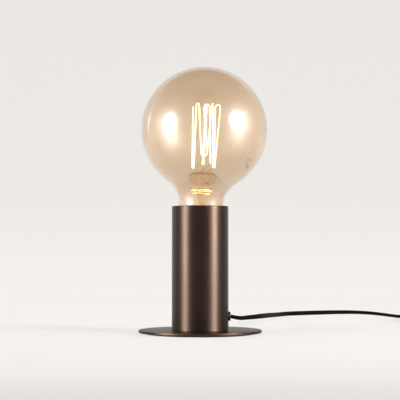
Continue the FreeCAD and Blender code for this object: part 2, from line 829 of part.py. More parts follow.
def bulb_stem():
    """The glass foot: a flare sealed in the neck, a tube and the lit collar on top."""
    under = collar_top - collar_height
    flare = [(r, stem_foot + z) for r, z in stem_outline]
    collar = [(r, under + z) for r, z in collar_outline]
    outer = turned([(0, stem_foot)] + flare + [(stem_radius, under - collar_taper)] + collar
                   + [(collar_outline[-1][0], collar_top), (0, collar_top)])
    roof = under - collar_floor
    inner = [(r - stem_wall, z) for r, z in flare]
    hollow = turned([(0, stem_foot - past), (inner[0][0], stem_foot - past)] + inner[1:]
                    + [(inner[-1][0], roof), (0, roof)])
    stem = outer.cut(hollow)
    for side in (-1, 1):
        stem = stem.cut(cylinder(lead_wire_radius + fit_gap, roof - past, collar_top + past,
                                 side * lead_wire_spread, 0))
    return leaned(stem)


def cup_shape(inset):
    """The cup's outline, moved inwards by an inset."""
    foot, top = cup_foot + inset, cup_top - inset
    middle = [(r - inset, cup_foot + z) for r, z in cup_outline[1:-1]]
    first, last = cup_outline[0][0] - inset, cup_outline[-1][0] - inset
    return turned([(0, foot), (first, foot)] + middle + [(last, top), (0, top)])


def stem_cup():
    cup = cup_shape(0).cut(cup_shape(cup_wall))
    cup = cup.cut(cylinder(rod_pin_radius + fit_gap, cup_top - cup_wall - past, cup_top + past))
    for side in (-1, 1):
        cup = cup.cut(cylinder(lead_wire_radius + fit_gap, collar_top - past, cup_top + past,
                               side * lead_wire_spread, 0))
    return leaned(cup)


def cage_point(azimuth, level):
    """A point on the cage, before the rod's lean."""
    reach = cage_top_radius if level > 0.5 else cage_foot_radius
    angle = math.radians(azimuth)
    return V(reach * math.cos(angle), reach * math.sin(angle), rod_foot + rod_length * level)


def loop_points(azimuth, level, spread, heading):
    """Start, crown and end of a loop, its level direction and +1 for a loop at the top."""
    crown = cage_point(azimuth, level)
    up = 1 if level > 0.5 else -1
    angle = math.radians(heading)
    sideways = V(math.cos(angle), math.sin(angle), 0)
    middle = crown - V(0, 0, up * loop_rise)
    half = sideways * (loop_rise * spread)
    return middle - half, crown, middle + half, sideways, up


def cage_path():
    """Filament edges: straight strands that loop over each support."""
    first, last = cage_point(*cage_start), cage_point(*cage_end)
    loops = [loop_points(*loop) for loop in cage_loops]
    targets = [loop[0] for loop in loops[1:]] + [last]
    edges = []
    foot = first
    for (start, crown, end, sideways, _), target in zip(loops, targets):
        edges.append(Part.LineSegment(foot, start).toShape())
        edges += biarc(start, (start - foot).normalize(), crown, sideways)
        edges += biarc(crown, sideways, end, (target - end).normalize())
        foot = end
    edges.append(Part.LineSegment(foot, last).toShape())
    return edges, first, loops[0][0] - first


def bulb_filament():
    edges, start, direction = cage_path()
    return mounted(sweep(edges, filament_radius, start, direction))


def support_rod():
    pin = cylinder(rod_pin_radius, cup_top - cup_wall, rod_foot)
    rod = cylinder(rod_radius, rod_foot - rod_foot_sunk, rod_foot + rod_length)
    beads = [Part.makeSphere(rod_bead_radius, V(0, 0, rod_foot + z)) for z in (rod_bead_level, rod_length)]
    return mounted(rod.fuse([pin] + beads))


def support_hooks():
    """A thin wire from a bead on the rod to each loop of the filament."""
    wires = []
    for loop in cage_loops:
        _, crown, _, _, up = loop_points(*loop)
        bead = V(0, 0, rod_foot + (rod_length if up > 0 else rod_bead_level))
        reach = (crown - bead).normalize()
        lift = reach.cross(Z_AXIS.cross(reach)).normalize()
        tip = crown - lift * (up * (filament_radius + support_radius + fit_gap))
        root = bead + (tip - bead).normalize() * (rod_bead_radius + fit_gap)
        wires.append(rod_between(root, tip, support_radius))
    return mounted(Part.makeCompound(wires))


def lead_wires():
    """From the cap up through the stem and the cup to the filament's two ends."""
    wires = []
    for side, tip in zip((1, -1), (cage_point(*cage_start), cage_point(*cage_end))):
        foot = V(side * lead_wire_spread, 0, stem_foot - lead_wire_tail)
        top = V(side * lead_wire_spread, 0, cup_top + lead_wire_bend)
        end = tip - V(0, 0, filament_radius + fit_gap)
        straight = rod_between(foot, top, lead_wire_radius)
        elbow = Part.makeSphere(lead_wire_radius, top)
        wires.append(straight.fuse([elbow, rod_between(top, end, lead_wire_radius)]))
    return leaned(Part.makeCompound(wires))


# ---- cord -----------------------------------------------------------------------------
def coil_point(turns):
    """The wire's centre after some turns: spiralling in, up a layer, and out again."""
    inward = min(turns, coil_turns - turns)
    reach = coil_outer_radius - coil_pitch * inward
    climb = min(max((turns - (coil_turns - coil_climb) / 2) / coil_climb, 0.0), 1.0)
    level = coil_z + coil_layer_step * climb * climb * (3 - 2 * climb)
    angle = math.pi + 2 * math.pi * turns
    return coil_centre + V(reach * math.cos(angle), reach * math.sin(angle), level)


def coil_tangent(turns):
    """Unit tangent; both ends run square to the stretches they meet."""
    if turns == 0:
        return V(0, -1, 0)
    if turns == coil_turns:
        return V(0, 1, 0)
    return (coil_point(turns + tangent_step) - coil_point(turns - tangent_step)).normalize()


def cord_coil():
    edges = [Part.LineSegment(mid_route[-1], coil_point(0)).toShape()]
    quarters = math.ceil(4 * coil_turns)
    stops = [coil_turns * i / quarters for i in range(quarters + 1)]
    for start, end in zip(stops, stops[1:]):
        edges += biarc(coil_point(start), coil_tangent(start), coil_point(end), coil_tangent(end))
    edges.append(Part.LineSegment(coil_point(coil_turns), tail_route[0]).toShape())
    report_coil_gap(edges)
    return sweep(edges, cord_radius, mid_route[-1], V(0, -1, 0))


def report_coil_gap(edges):
    """Print the least air between two turns, measured on points along the wire."""
    points = []
    travelled = 0.0
    for edge in edges:
        for point in edge.discretize(gap_samples)[:-1]:
            points.append((travelled, point))
        travelled += edge.Length
    far = gap_apart * cord_diameter
    least = min((p - q).Length for i, (s, p) in enumerate(points) for t, q in points[i + 1:]
                if abs(t - s) > far)
    print("  coil: wire %.1f long, least gap %.2f" % (travelled, least - cord_diameter))


def cord_tie():
    """A band round the bundle, one end lapped over the other on top."""
    inner = coil_outer_radius - coil_pitch * (coil_turns / 2) - cord_radius - fit_gap
    outer = coil_outer_radius + cord_radius + fit_gap
    low, high = coil_z - cord_radius - fit_gap, coil_top_z + cord_radius + fit_gap
    half = tie_width / 2
    band = block(inner - tie_sheet, outer + tie_sheet, -half, half, low - tie_sheet, high + tie_sheet)
    band = band.makeFillet(tie_corner, edges_along(band, Y_AXIS))
    band = band.cut(block(inner, outer, -half - past, half + past, low, high))
    lap = block(inner + tie_lap_start, outer - tie_lap_end, -half, half,
                high + tie_sheet, high + 2 * tie_sheet)
    band = around_z(band.fuse(lap).removeSplitter(), tie_angle)
    return band.translated(V(coil_centre.x, coil_centre.y, 0))


# ---- cord switch ----------------------------------------------------------------------
def switch_placed(shape):
    """From the switch's own frame, long side on X, to its place along the cord."""
    copy = shape.copy()
    copy.rotate(ORIGIN, Z_AXIS, -90)
    return copy.translated(switch_centre)


def switch_case(bottom, top):
    """A rounded block of the switch's plan."""
    case = block(-switch_length / 2, switch_length / 2, -switch_width / 2, switch_width / 2, bottom, top)
    return case.makeFillet(switch_corner, edges_along(case, Z_AXIS))


def switch_hollow(bottom, top):
    return block(-switch_length / 2 + switch_wall, switch_length / 2 - switch_wall,
                 -switch_width / 2 + switch_wall, switch_width / 2 - switch_wall, bottom, top)


def switch_cord_bores():
    reach = switch_length / 2 + past
    return rod_between(V(-reach, 0, switch_inlet), V(reach, 0, switch_inlet), cord_bore_radius)


def switch_bosses(bottom, top):
    x, y = switch_screw_place
    return [cylinder(switch_boss_radius, bottom, top, side * x, side * y) for side in (1, -1)]


def switch_screw_shapes(gap):
    """Both screws, grown by a gap for their holes."""
    x, y = switch_screw_place
    seat = switch_wall
    screw = cylinder(switch_screw_head_radius + gap, seat - switch_screw_head - gap, seat)
    tip = switch_height - switch_wall - switch_joint
    screw = screw.fuse(cylinder(switch_screw_radius + gap, seat - tiny, tip))
    return [screw.translated(V(x, y, 0)), screw.translated(V(-x, -y, 0))]


def switch_base():
    case = switch_case(0, switch_inlet)
    case = case.makeFillet(switch_foot_edge, [e for e in case.Edges if e.CenterOfMass.z < tiny])
    case = case.cut(switch_hollow(switch_wall, switch_inlet + past))
    case = case.fuse(switch_bosses(switch_wall / 2, switch_inlet)).cut(switch_cord_bores())
    for hole in switch_screw_shapes(fit_gap):
        mouth = hole.translated(V(0, 0, -switch_wall)).common(switch_case(-past, switch_wall))
        case = case.cut(hole).cut(mouth)
    return switch_placed(case)


def switch_cover():
    bottom = switch_inlet + fit_gap
    case = switch_case(bottom, switch_height)
    under = switch_height - switch_wall / 2
    case = case.makeFillet(switch_edge, [e for e in case.Edges if e.CenterOfMass.z > switch_height - tiny])
    case = case.cut(switch_hollow(bottom - past, switch_height - switch_wall))
    case = case.fuse(switch_bosses(bottom, under))
    half_x = rocker_length / 2 + rocker_window_gap
    half_y = rocker_width / 2 + move_gap
    cheek = half_y + rocker_axle_length
    for side in (1, -1):
        ends = sorted((side * half_y, side * cheek))
        case = case.fuse(block(-rocker_cheek, rocker_cheek, ends[0], ends[1],
                               rocker_axle_height - rocker_cheek_drop, under))
    case = case.cut(block(-half_x, half_x, -half_y, half_y, bottom - past, switch_height + past))
    axle = rod_between(V(0, -cheek - past, rocker_axle_height), V(0, cheek + past, rocker_axle_height),
                       rocker_axle_radius + pivot_gap)
    case = case.cut(axle).cut(switch_cord_bores())
    for hole in switch_screw_shapes(fit_gap):
        case = case.cut(hole)
    return switch_placed(case)


def rocker_posed(shape):
    """The rocker's pieces tilted to the side that is pressed when the lamp is on."""
    copy = shape.copy()
    copy.rotate(V(0, 0, rocker_axle_height), Y_AXIS, -rocker_tilt)
    return switch_placed(copy)


def switch_rocker():
    half, low, high = rocker_length / 2, rocker_axle_height - rocker_foot, rocker_axle_height + rocker_crest
    corners = [(-half, low), (half, low), (half, high), (0, high - rocker_dish), (-half, high)]
    points = [V(x, -rocker_width / 2, z) for x, z in corners]
    body = Part.Face(Part.makePolygon(points + [points[0]])).extrude(V(0, rocker_width, 0))
    reach = rocker_width / 2 + rocker_axle_length
    axle = rod_between(V(0, -reach, rocker_axle_height), V(0, reach, rocker_axle_height), rocker_axle_radius)
    return rocker_posed(body.fuse(axle))


def rocker_contact():
    top = rocker_axle_height - rocker_foot
    half_length, half_width = rocker_contact_length / 2, rocker_contact_width / 2
    return rocker_posed(block(-half_length, half_length, -half_width, half_width,
                              top - rocker_contact_sheet, top))


def switch_terminals():
    """Two brass terminals whose blades reach under the rocker's ends."""
    tilt = math.radians(rocker_tilt)
    drop = (rocker_foot + rocker_contact_sheet) * math.cos(tilt) + rocker_contact_length / 2 * math.sin(tilt)
    blade_top = rocker_axle_height - drop - move_gap
    level = switch_inlet - switch_core_drop
    parts = []
    for side in (-1, 1):
        ends = sorted((side * switch_terminal_near, side * switch_terminal_far))
        body = block(ends[0], ends[1], switch_terminal_inner, switch_terminal_outer, switch_wall, blade_top)
        reach = sorted((side * switch_blade_end, side * switch_terminal_near))
        blade = block(reach[0], reach[1], switch_terminal_inner, switch_terminal_inner + switch_blade_width,
                      blade_top - switch_blade_sheet, blade_top)
        bore = rod_between(V(side * switch_bore_start, switch_core_place, level),
                           V(side * switch_bore_end, switch_core_place, level), core_radius + fit_gap)
        parts.append(body.fuse(blade).removeSplitter().cut(bore))
    return switch_placed(Part.makeCompound(parts))


def switch_cores():
    """The core that runs through uncut, and the two ends of the switched one."""
    cores = [route_tube(through_route, core_radius, through_bend)]
    for side in (-1, 1):
        switched = [V(side * point.x, point.y, point.z) for point in switched_route]
        cores.append(route_tube(switched, core_radius, switched_bend))
    return switch_placed(Part.makeCompound(cores))


def switch_screws():
    return switch_placed(Part.makeCompound(switch_screw_shapes(0)))


# ---- plug -----------------------------------------------------------------------------
def plug_pin(root_gap):
    """One pin along +Y from the plug's face, with its thinner root in the body."""
    face = plug_neck + plug_length
    root = rod_between(V(0, face - pin_root, 0), V(0, face, 0), pin_root_radius + root_gap)
    pin = rod_between(V(0, face, 0), V(0, face + pin_length, 0), pin_radius)
    tip = [e for e in pin.Edges if e.CenterOfMass.y > face + pin_length - tiny]
    return root, pin.makeFillet(pin_tip_radius, tip)


def plug_body():
    half, back = plug_width / 2, plug_back_width / 2
    face = plug_neck + plug_length
    outline = [(-back, plug_neck), (back, plug_neck), (half, face - plug_waist), (half, face),
               (-half, face), (-half, face - plug_waist)]
    points = [V(x, y, -plug_thickness / 2) for x, y in outline]
    body = Part.Face(Part.makePolygon(points + [points[0]])).extrude(V(0, 0, plug_thickness))
    body = body.makeFillet(plug_edge, body.Edges)
    neck = Part.makeCone(plug_neck_radius, plug_neck_root_radius, plug_neck + plug_neck_sunk, ORIGIN, Y_AXIS)
    body = body.fuse(neck)
    for side in (-1, 1):
        body = body.cut(plug_pin(fit_gap)[0].translated(V(side * pin_spacing / 2, 0, 0)))
    return body.translated(plug_place)


def plug_pins():
    root, pin = plug_pin(0)
    whole = root.fuse(pin)
    pins = [whole.translated(plug_place + V(side * pin_spacing / 2, 0, 0)) for side in (-1, 1)]
    return Part.makeCompound(pins)


# ---- all pieces -----------------------------------------------------------------------
pieces = {
    "base_pad": base_pad, "base_disc": base_disc, "base_screws": base_screws,
    "tube_flange": tube_flange, "lamp_tube": lamp_tube,
    "holder_bracket": holder_bracket, "bracket_screws": bracket_screws,
    "nipple": nipple, "nipple_washer": nipple_washer, "nipple_nut": nipple_nut,
    "holder_dome": holder_dome, "terminal_block": terminal_block, "holder_terminals": holder_terminals,
    "terminal_screws": terminal_screws, "screw_shell": screw_shell, "holder_shell": holder_shell,
    "centre_contact": centre_contact,
    "gland_body": gland_body, "gland_nut": gland_nut, "inner_flex": inner_flex, "core_wires": core_wires,
    "bulb_tip": bulb_tip, "bulb_insulator": bulb_insulator, "bulb_cap": bulb_cap, "bulb_glass": bulb_glass,
    "bulb_stem": bulb_stem, "stem_cup": stem_cup, "bulb_filament": bulb_filament,
    "support_rod": support_rod, "support_hooks": support_hooks, "lead_wires": lead_wires,
    "cord_lead": lambda: route_tube(lead_route, cord_radius),
    "cord_mid": lambda: route_tube(mid_route, cord_radius),
    "cord_coil": cord_coil,
    "cord_tail": lambda: route_tube(tail_route, cord_radius),
    "cord_tie": cord_tie,
    "switch_base": switch_base, "switch_cover": switch_cover, "switch_rocker": switch_rocker,
    "rocker_contact": rocker_contact, "switch_terminals": switch_terminals, "switch_cores": switch_cores,
    "switch_screws": switch_screws, "plug_body": plug_body, "plug_pins": plug_pins,
}


def main():
    os.makedirs("parts", exist_ok=True)
    for name, make in pieces.items():
        print(name)
        shape = make()
        if not shape.isValid():
            print("  NOT VALID")
        shape.exportStep("parts/%s.step" % name)


main()
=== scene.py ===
"""Looks of the bare bulb table lamp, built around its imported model. Metres, +Z up."""

import json
import math

import bpy
from mathutils import Matrix, Vector


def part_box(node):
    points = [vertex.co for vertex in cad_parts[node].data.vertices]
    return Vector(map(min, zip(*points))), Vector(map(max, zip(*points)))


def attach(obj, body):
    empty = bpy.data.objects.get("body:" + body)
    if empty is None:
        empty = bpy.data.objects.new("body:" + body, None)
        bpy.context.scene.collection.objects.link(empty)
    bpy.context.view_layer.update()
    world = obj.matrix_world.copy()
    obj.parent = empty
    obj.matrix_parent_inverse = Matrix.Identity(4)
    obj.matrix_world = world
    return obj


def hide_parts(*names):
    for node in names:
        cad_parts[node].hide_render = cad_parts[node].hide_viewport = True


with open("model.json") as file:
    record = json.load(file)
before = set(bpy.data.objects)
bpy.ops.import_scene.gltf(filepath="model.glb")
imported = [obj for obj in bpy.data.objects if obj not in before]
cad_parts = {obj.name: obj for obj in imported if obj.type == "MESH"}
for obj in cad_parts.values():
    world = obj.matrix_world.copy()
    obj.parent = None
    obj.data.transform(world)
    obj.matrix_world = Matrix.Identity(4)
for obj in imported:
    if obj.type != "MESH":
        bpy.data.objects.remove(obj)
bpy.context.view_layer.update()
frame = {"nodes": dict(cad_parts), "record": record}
nodes = frame["nodes"]
scene = bpy.context.scene
mm = 0.001

# ---- camera, from the photograph's edges ----------------------------------------------
image_size = 400                    # pixels, the photograph's frame
focal_pixels = 1177.0
sensor_width = 36.0                 # millimetres
camera_place = Vector((-0.15, -1166.5, 78.46)) * mm
camera_pitch = 2.627                # degrees above level

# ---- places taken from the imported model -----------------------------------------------
disc_low, disc_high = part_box("base_disc")
pad_low, pad_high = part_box("base_pad")
tube_low, tube_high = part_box("lamp_tube")
cap_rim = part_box("bulb_cap")[1].z
tube_radius = tube_high.x

# ---- envelope and what it holds, as in the construction -------------------------------
globe_radius = 62.5 * mm
globe_centre = cap_rim + 90.8 * mm
glass_wall = 0.9 * mm
neck_radius = 21.8 * mm
neck_end_radius = 11.8 * mm
neck_waist = cap_rim + 16.0 * mm
neck_start = cap_rim + 1.0 * mm
neck_foot = cap_rim - 5.0 * mm
lean_pivot = Vector((0, 0, cap_rim - 6.5 * mm))
globe_lean = math.radians(2.45)
mount_lean = math.radians(0.8)
stem_foot = neck_foot + 1.0 * mm
collar_top = stem_foot + 35.7 * mm
collar_foot = collar_top - 6.0 * mm
collar_radius = 10.3 * mm
cup_foot = collar_top + 0.05 * mm
cup_top = cup_foot + 15.7 * mm
rod_foot = cup_top + 9.0 * mm
rod_length = 59.0 * mm
rod_radius = 1.1 * mm
bead_radius = 1.5 * mm
bead_level = 1.5 * mm
cage_top_radius = 13.0 * mm
cage_foot_radius = 12.0 * mm
loop_rise = 2.4 * mm
filament_radius = 0.5 * mm
hook_radius = 0.2 * mm
pin_radius = 0.45 * mm
lead_radius = 0.35 * mm
lead_spread = 2.4 * mm
# The filament's ends: azimuth in degrees, level in rod lengths
cage_start = (-15.0, -0.054)
cage_end = (307.0, 0.007)
# Its loops: azimuth, level of the crown in rod lengths, half width over rise, heading
cage_loops = [
    (27.0, 1.034, 1.08, 180.0), (31.0, -0.036, 0.58, 121.0), (62.0, 1.063, 0.58, 110.0),
    (88.0, 0.159, 1.33, 178.0), (130.0, 1.049, 0.83, 220.0), (145.0, -0.068, 0.58, 235.0),
    (180.0, 0.956, 0.62, 270.0), (215.0, -0.075, 0.58, 305.0), (230.0, 1.005, 0.83, 320.0),
    (272.0, 0.129, 1.33, 2.0), (274.0, 0.988, 1.17, 4.0),
]

# ---- cord: a flat twin flex -----------------------------------------------------------
cord_width = 5.4 * mm
core_half = 1.85 * mm               # radius of each half of the section
core_offset = 0.85 * mm             # of each half's centre from the cord's centre
# Route points in millimetres
lead_route = [
    (30, 0, 17.1), (35, 0, 15.8), (41, 0.6, 15.1), (49.2, 3.8, 15.9), (56.3, 10.9, 16.1),
    (60.9, 22, 16.1), (65.8, 46, 15.1), (71.5, 90, 13.3), (78, 142, 10.8), (84, 197, 8.2),
    (91, 250, 5.7), (99.5, 300, 3.6), (113, 338, 2.72), (139, 354, 2.75), (171, 371, 2.75),
    (200, 378, 2.65), (220, 361, 2.3), (231, 332, 2.05), (238.5, 303, 1.87), (246, 276, 1.95),
    (252.5, 256, 3.2), (257, 239.6, 6.5), (257, 223, 6.5),
]
# Twist of the flat section, in degrees, at shares of the free length
lead_twist = [
    (0.0, 0.0), (0.02, 10.0), (0.044, 25.0), (0.08, 42.0), (0.2, 52.0), (0.35, 65.0), (0.52, 88.0),
    (0.64, 88.0), (0.70, 50.0), (0.741, 28.0), (0.79, 8.0), (0.85, 0.0), (1.0, 0.0),
]
coil_centre = (295.0, 118.0)
coil_outer = 37.0
coil_pitch = 5.9
coil_turns = 5.5
coil_climb = 0.5
coil_low = 2.4
coil_step = 3.8
coil_points_per_turn = 16
supply_start = [(257, 169, 6.5), (257, 154, 6.5), (258, 138, 3.6), (258, 124, coil_low)]
coil_high = coil_low + coil_step
supply_end = [(332, 124, coil_high), (332, 136, coil_high), (334, 150, 6.4), (335, 164, 6.85),
              (335, 176, 6.85)]
tie_angle = math.radians(250.0)


# ---- mesh helpers ---------------------------------------------------------------------
def mesh_piece(name, points, faces, sharp=35.0):
    """A mesh object, smooth but for edges sharper than the given angle."""
    mesh = bpy.data.meshes.new(name)
    mesh.from_pydata([tuple(p) for p in points], [], faces)
    mesh.validate()
    mesh.shade_smooth()
    mesh.set_sharp_from_angle(angle=math.radians(sharp))
    mesh.update()
    piece = bpy.data.objects.new(name, mesh)
    scene.collection.objects.link(piece)
    return piece


def lathe(name, outline, turns=144, closed=False, sharp=35.0):
    """A surface of revolution about Z from (radius, level) points; ends on the axis are poles."""
    points, faces, rows = [], [], []
    for radius, level in outline:
        if radius < 1e-7:
            rows.append([len(points)])
            points.append((0, 0, level))
            continue
        row = []
        for i in range(turns):
            angle = 2 * math.pi * i / turns
            row.append(len(points))
            points.append((radius * math.cos(angle), radius * math.sin(angle), level))
        rows.append(row)
    pairs = list(zip(rows, rows[1:]))
    if closed:
        pairs.append((rows[-1], rows[0]))
    for low, high in pairs:
        for i in range(turns):
            j = (i + 1) % turns
            if len(low) == 1 and len(high) > 1:
                faces.append((low[0], high[j], high[i]))
            elif len(high) == 1 and len(low) > 1:
                faces.append((low[i], low[j], high[0]))
            elif len(low) > 1:
                faces.append((low[i], low[j], high[j], high[i]))
    return mesh_piece(name, points, faces, sharp)


def rounded(corners, steps=6):
    """An outline from (radius, level, rounding) corners, its corners turned into arcs."""
    outline = []
    count = len(corners)
    for i, (x, y, rounding) in enumerate(corners):
        corner = Vector((x, y))
        if rounding <= 0:
            outline.append((x, y))
            continue
        before = Vector(corners[i - 1][:2]) - corner
        after = Vector(corners[(i + 1) % count][:2]) - corner
        before.normalize()
        after.normalize()
        half = before.angle(after) / 2
        setback = rounding / math.tan(half)
        centre = corner + (before + after).normalized() * (rounding / math.sin(half))
        start, end = corner + before * setback - centre, corner + after * setback - centre
        sweep = math.pi - 2 * half
        sign = 1 if start.x * end.y - start.y * end.x > 0 else -1
        for k in range(steps + 1):
            angle = sign * sweep * k / steps
            cos, sin = math.cos(angle), math.sin(angle)
            across, along = start.x * cos - start.y * sin, start.x * sin + start.y * cos
            outline.append((centre.x + across, centre.y + along))
    return outline


def frames_along(centres):
    """Unit tangent and steady side vector at each centre of an open line."""
    tangents = []
    for i in range(len(centres)):
        a, b = centres[max(i - 1, 0)], centres[min(i + 1, len(centres) - 1)]
        tangents.append((b - a).normalized())
    start = Vector((0, 0, 1)).cross(tangents[0])
    if start.length < 1e-3:
        start = Vector((1, 0, 0))
    sides = [(start - tangents[0] * start.dot(tangents[0])).normalized()]
    for before, tangent in zip(tangents, tangents[1:]):
        turn = before.rotation_difference(tangent)
        side = turn @ sides[-1]
        sides.append((side - tangent * side.dot(tangent)).normalized())
    return tangents, sides


def sweep(name, centres, section, scales=None, sides=None, caps=True, sharp=50.0):
    """A closed section swept along centres; section points are (side, up) offsets."""
    tangents, steady = frames_along(centres)
    sides = sides or steady
    points, faces = [], []
    count = len(section)
    for i, centre in enumerate(centres):
        side = sides[i]
        up = tangents[i].cross(side).normalized()
        scale = 1.0 if scales is None else scales[i]
        for a, b in section:
            points.append(centre + side * (a * scale) + up * (b * scale))
    for i in range(len(centres) - 1):
        for k in range(count):
            m = (k + 1) % count
            faces.append((i * count + k, i * count + m, (i + 1) * count + m, (i + 1) * count + k))
    if caps:
        faces.append(tuple(range(count))[::-1])
        faces.append(tuple((len(centres) - 1) * count + k for k in range(count)))
    return mesh_piece(name, points, faces, sharp)


def circle_section(radius, count):
    """A round section."""
    return [(radius * math.cos(2 * math.pi * k / count), radius * math.sin(2 * math.pi * k / count))
            for k in range(count)]


def join(name, parts):
    """One mesh object from several."""
    bpy.ops.object.select_all(action="DESELECT")
    for part in parts:
        part.select_set(True)
    bpy.context.view_layer.objects.active = parts[0]
    bpy.ops.object.join()
    parts[0].name = name
    parts[0].data.name = name
    return parts[0]


def leaning(pivot, angle):
    """A turn about Y through a pivot."""
    turn = Matrix.Rotation(angle, 4, "Y")
    return Matrix.Translation(pivot) @ turn @ Matrix.Translation(-pivot)


def lean(piece):
    """Leans a piece with the glass, in its mesh."""
    piece.data.transform(leaning(lean_pivot, globe_lean))
    return piece


def mounted(piece):
    """Leans a piece with the filament's rod, on top of the glass's lean."""
    piece.data.transform(leaning(Vector((0, 0, cup_top)), mount_lean))
    return lean(piece)


# ---- materials ------------------------------------------------------------------------
def new_material(name, **values):
    """A Principled material; values are its sockets' names with _ for spaces."""
    material = bpy.data.materials.new(name)
    material.use_nodes = True
    shader = material.node_tree.nodes["Principled BSDF"]
    for key, value in values.items():
        socket = shader.inputs[key.replace("_", " ")]
        is_colour = isinstance(value, tuple) and len(value) == 3
        socket.default_value = (*value, 1.0) if is_colour else value
    return material


def texture_place(material, scale):
    """Object coordinates stretched by a scale for each axis."""
    tree = material.node_tree
    place = tree.nodes.new("ShaderNodeTexCoord")
    stretch = tree.nodes.new("ShaderNodeMapping")
    stretch.inputs["Scale"].default_value = scale
    tree.links.new(place.outputs["Object"], stretch.inputs["Vector"])
    return stretch.outputs["Vector"]


def noise(material, place, scale, detail=3.0, roughness=0.55):
    """A noise value."""
    node = material.node_tree.nodes.new("ShaderNodeTexNoise")
    node.inputs["Scale"].default_value = scale
    node.inputs["Detail"].default_value = detail
    node.inputs["Roughness"].default_value = roughness
    material.node_tree.links.new(place, node.inputs["Vector"])
    return node.outputs["Fac"]


def spread(material, value, low, high, start=0.3, end=0.7):
    """A value mapped from start..end to low..high."""
    node = material.node_tree.nodes.new("ShaderNodeMapRange")
    node.inputs["From Min"].default_value = start
    node.inputs["From Max"].default_value = end
    node.inputs["To Min"].default_value = low
    node.inputs["To Max"].default_value = high
    material.node_tree.links.new(value, node.inputs["Value"])
    return node.outputs["Result"]


def ramp(material, value, stops):
    """A colour ramp from (position, colour) stops."""
    node = material.node_tree.nodes.new("ShaderNodeValToRGB")
    elements = node.color_ramp.elements
    while len(elements) < len(stops):
        elements.new(0.5)
    for element, (position, colour) in zip(elements, stops):
        element.position = position
        element.color = (*colour, 1.0)
    material.node_tree.links.new(value, node.inputs["Fac"])
    return node.outputs["Color"]


def feed(material, output, socket):
    """Links an output to a socket of the material's shader."""
    shader = material.node_tree.nodes["Principled BSDF"]
    material.node_tree.links.new(output, shader.inputs[socket])


def two_tone(material, value, dark, light, start=0.3, end=0.7, socket="Base Color"):
    """Feeds a socket a colour that goes from dark to light as the value rises."""
    feed(material, ramp(material, value, [(start, dark), (end, light)]), socket)


def bump(material, height, strength, distance):
    """Bump on the shader's normal."""
    node = material.node_tree.nodes.new("ShaderNodeBump")
    node.inputs["Strength"].default_value = strength
    node.inputs["Distance"].default_value = distance
    material.node_tree.links.new(height, node.inputs["Height"])
    feed(material, node.outputs["Normal"], "Normal")


def shade_of(colour, factor):
    """A colour made lighter or darker."""
    return tuple(c * factor for c in colour)


def bronze(name, grain, roughness, anisotropy, edge):
    """Satin bronze-brown finish with a fine grain; edge greys its glancing reflection."""
    colour = (0.04, 0.0262, 0.0202)
    material = new_material(name, Metallic=1.0, Roughness=roughness,
                            Specular_Tint=(edge, edge, edge, 1.0),
                            Anisotropic=anisotropy, Anisotropic_Rotation=0.25)
    fine = noise(material, texture_place(material, grain), 900.0, 2.0)
    broad = noise(material, texture_place(material, (1, 1, 1)), 28.0, 4.0)
    two_tone(material, broad, shade_of(colour, 0.93), shade_of(colour, 1.07))
    feed(material, spread(material, fine, roughness - 0.02, roughness + 0.02), "Roughness")
    bump(material, fine, 0.05, 0.0001)
    return material


def drawn_bronze():
    """The tube's finish: its drawn grain runs along Z and draws each highlight out that way."""
    material = bronze("bronze_metal", (1, 1, 0.04), 0.48, 0.8, 1.0)
    around = material.node_tree.nodes.new("ShaderNodeTangent")
    around.direction_type = "RADIAL"
    around.axis = "Z"
    feed(material, around.outputs["Tangent"], "Tangent")
    return material


def spun_bronze():
    """The same finish with rings from the lathe, for the disc."""
    material = bronze("bronze_disc", (1, 1, 1), 0.34, 0.0, 0.7)
    tree = material.node_tree
    place = tree.nodes.new("ShaderNodeTexCoord")
    split = tree.nodes.new("ShaderNodeSeparateXYZ")
    tree.links.new(place.outputs["Object"], split.inputs["Vector"])
    flat = tree.nodes.new("ShaderNodeCombineXYZ")
    tree.links.new(split.outputs["X"], flat.inputs["X"])
    tree.links.new(split.outputs["Y"], flat.inputs["Y"])
    reach = tree.nodes.new("ShaderNodeVectorMath")
    reach.operation = "LENGTH"
    tree.links.new(flat.outputs["Vector"], reach.inputs[0])
    rings = tree.nodes.new("ShaderNodeTexNoise")
    rings.noise_dimensions = "1D"
    rings.inputs["Scale"].default_value = 2600.0
    rings.inputs["Detail"].default_value = 2.0
    tree.links.new(reach.outputs["Value"], rings.inputs["W"])
    feed(material, spread(material, rings.outputs["Fac"], 0.31, 0.37), "Roughness")
    bump(material, rings.outputs["Fac"], 0.08, 0.0001)
    return material


def plastic(name, colour, roughness, grain=1400.0, depth=0.00005, shine=0.45):
    """Moulded plastic with a fine spark-eroded grain."""
    material = new_material(name, Specular_IOR_Level=shine)
    fine = noise(material, texture_place(material, (1, 1, 1)), grain, 3.0)
    broad = noise(material, texture_place(material, (1, 1, 1)), 60.0, 2.0)
    two_tone(material, broad, shade_of(colour, 0.85), shade_of(colour, 1.15))
    feed(material, spread(material, fine, roughness - 0.05, roughness + 0.05), "Roughness")
    bump(material, fine, 0.25, depth)
    return material


def metal(name, colour, roughness, stretch=(1, 1, 1), grain=700.0):
    """Bare or plated metal with fine drawn or turned lines."""
    material = new_material(name, Metallic=1.0)
    fine = noise(material, texture_place(material, stretch), grain, 3.0)
    broad = noise(material, texture_place(material, (1, 1, 1)), 90.0, 3.0)
    two_tone(material, broad, shade_of(colour, 0.86), colour)
    feed(material, spread(material, fine, roughness - 0.06, roughness + 0.08), "Roughness")
    bump(material, fine, 0.12, 0.00005)
    return material


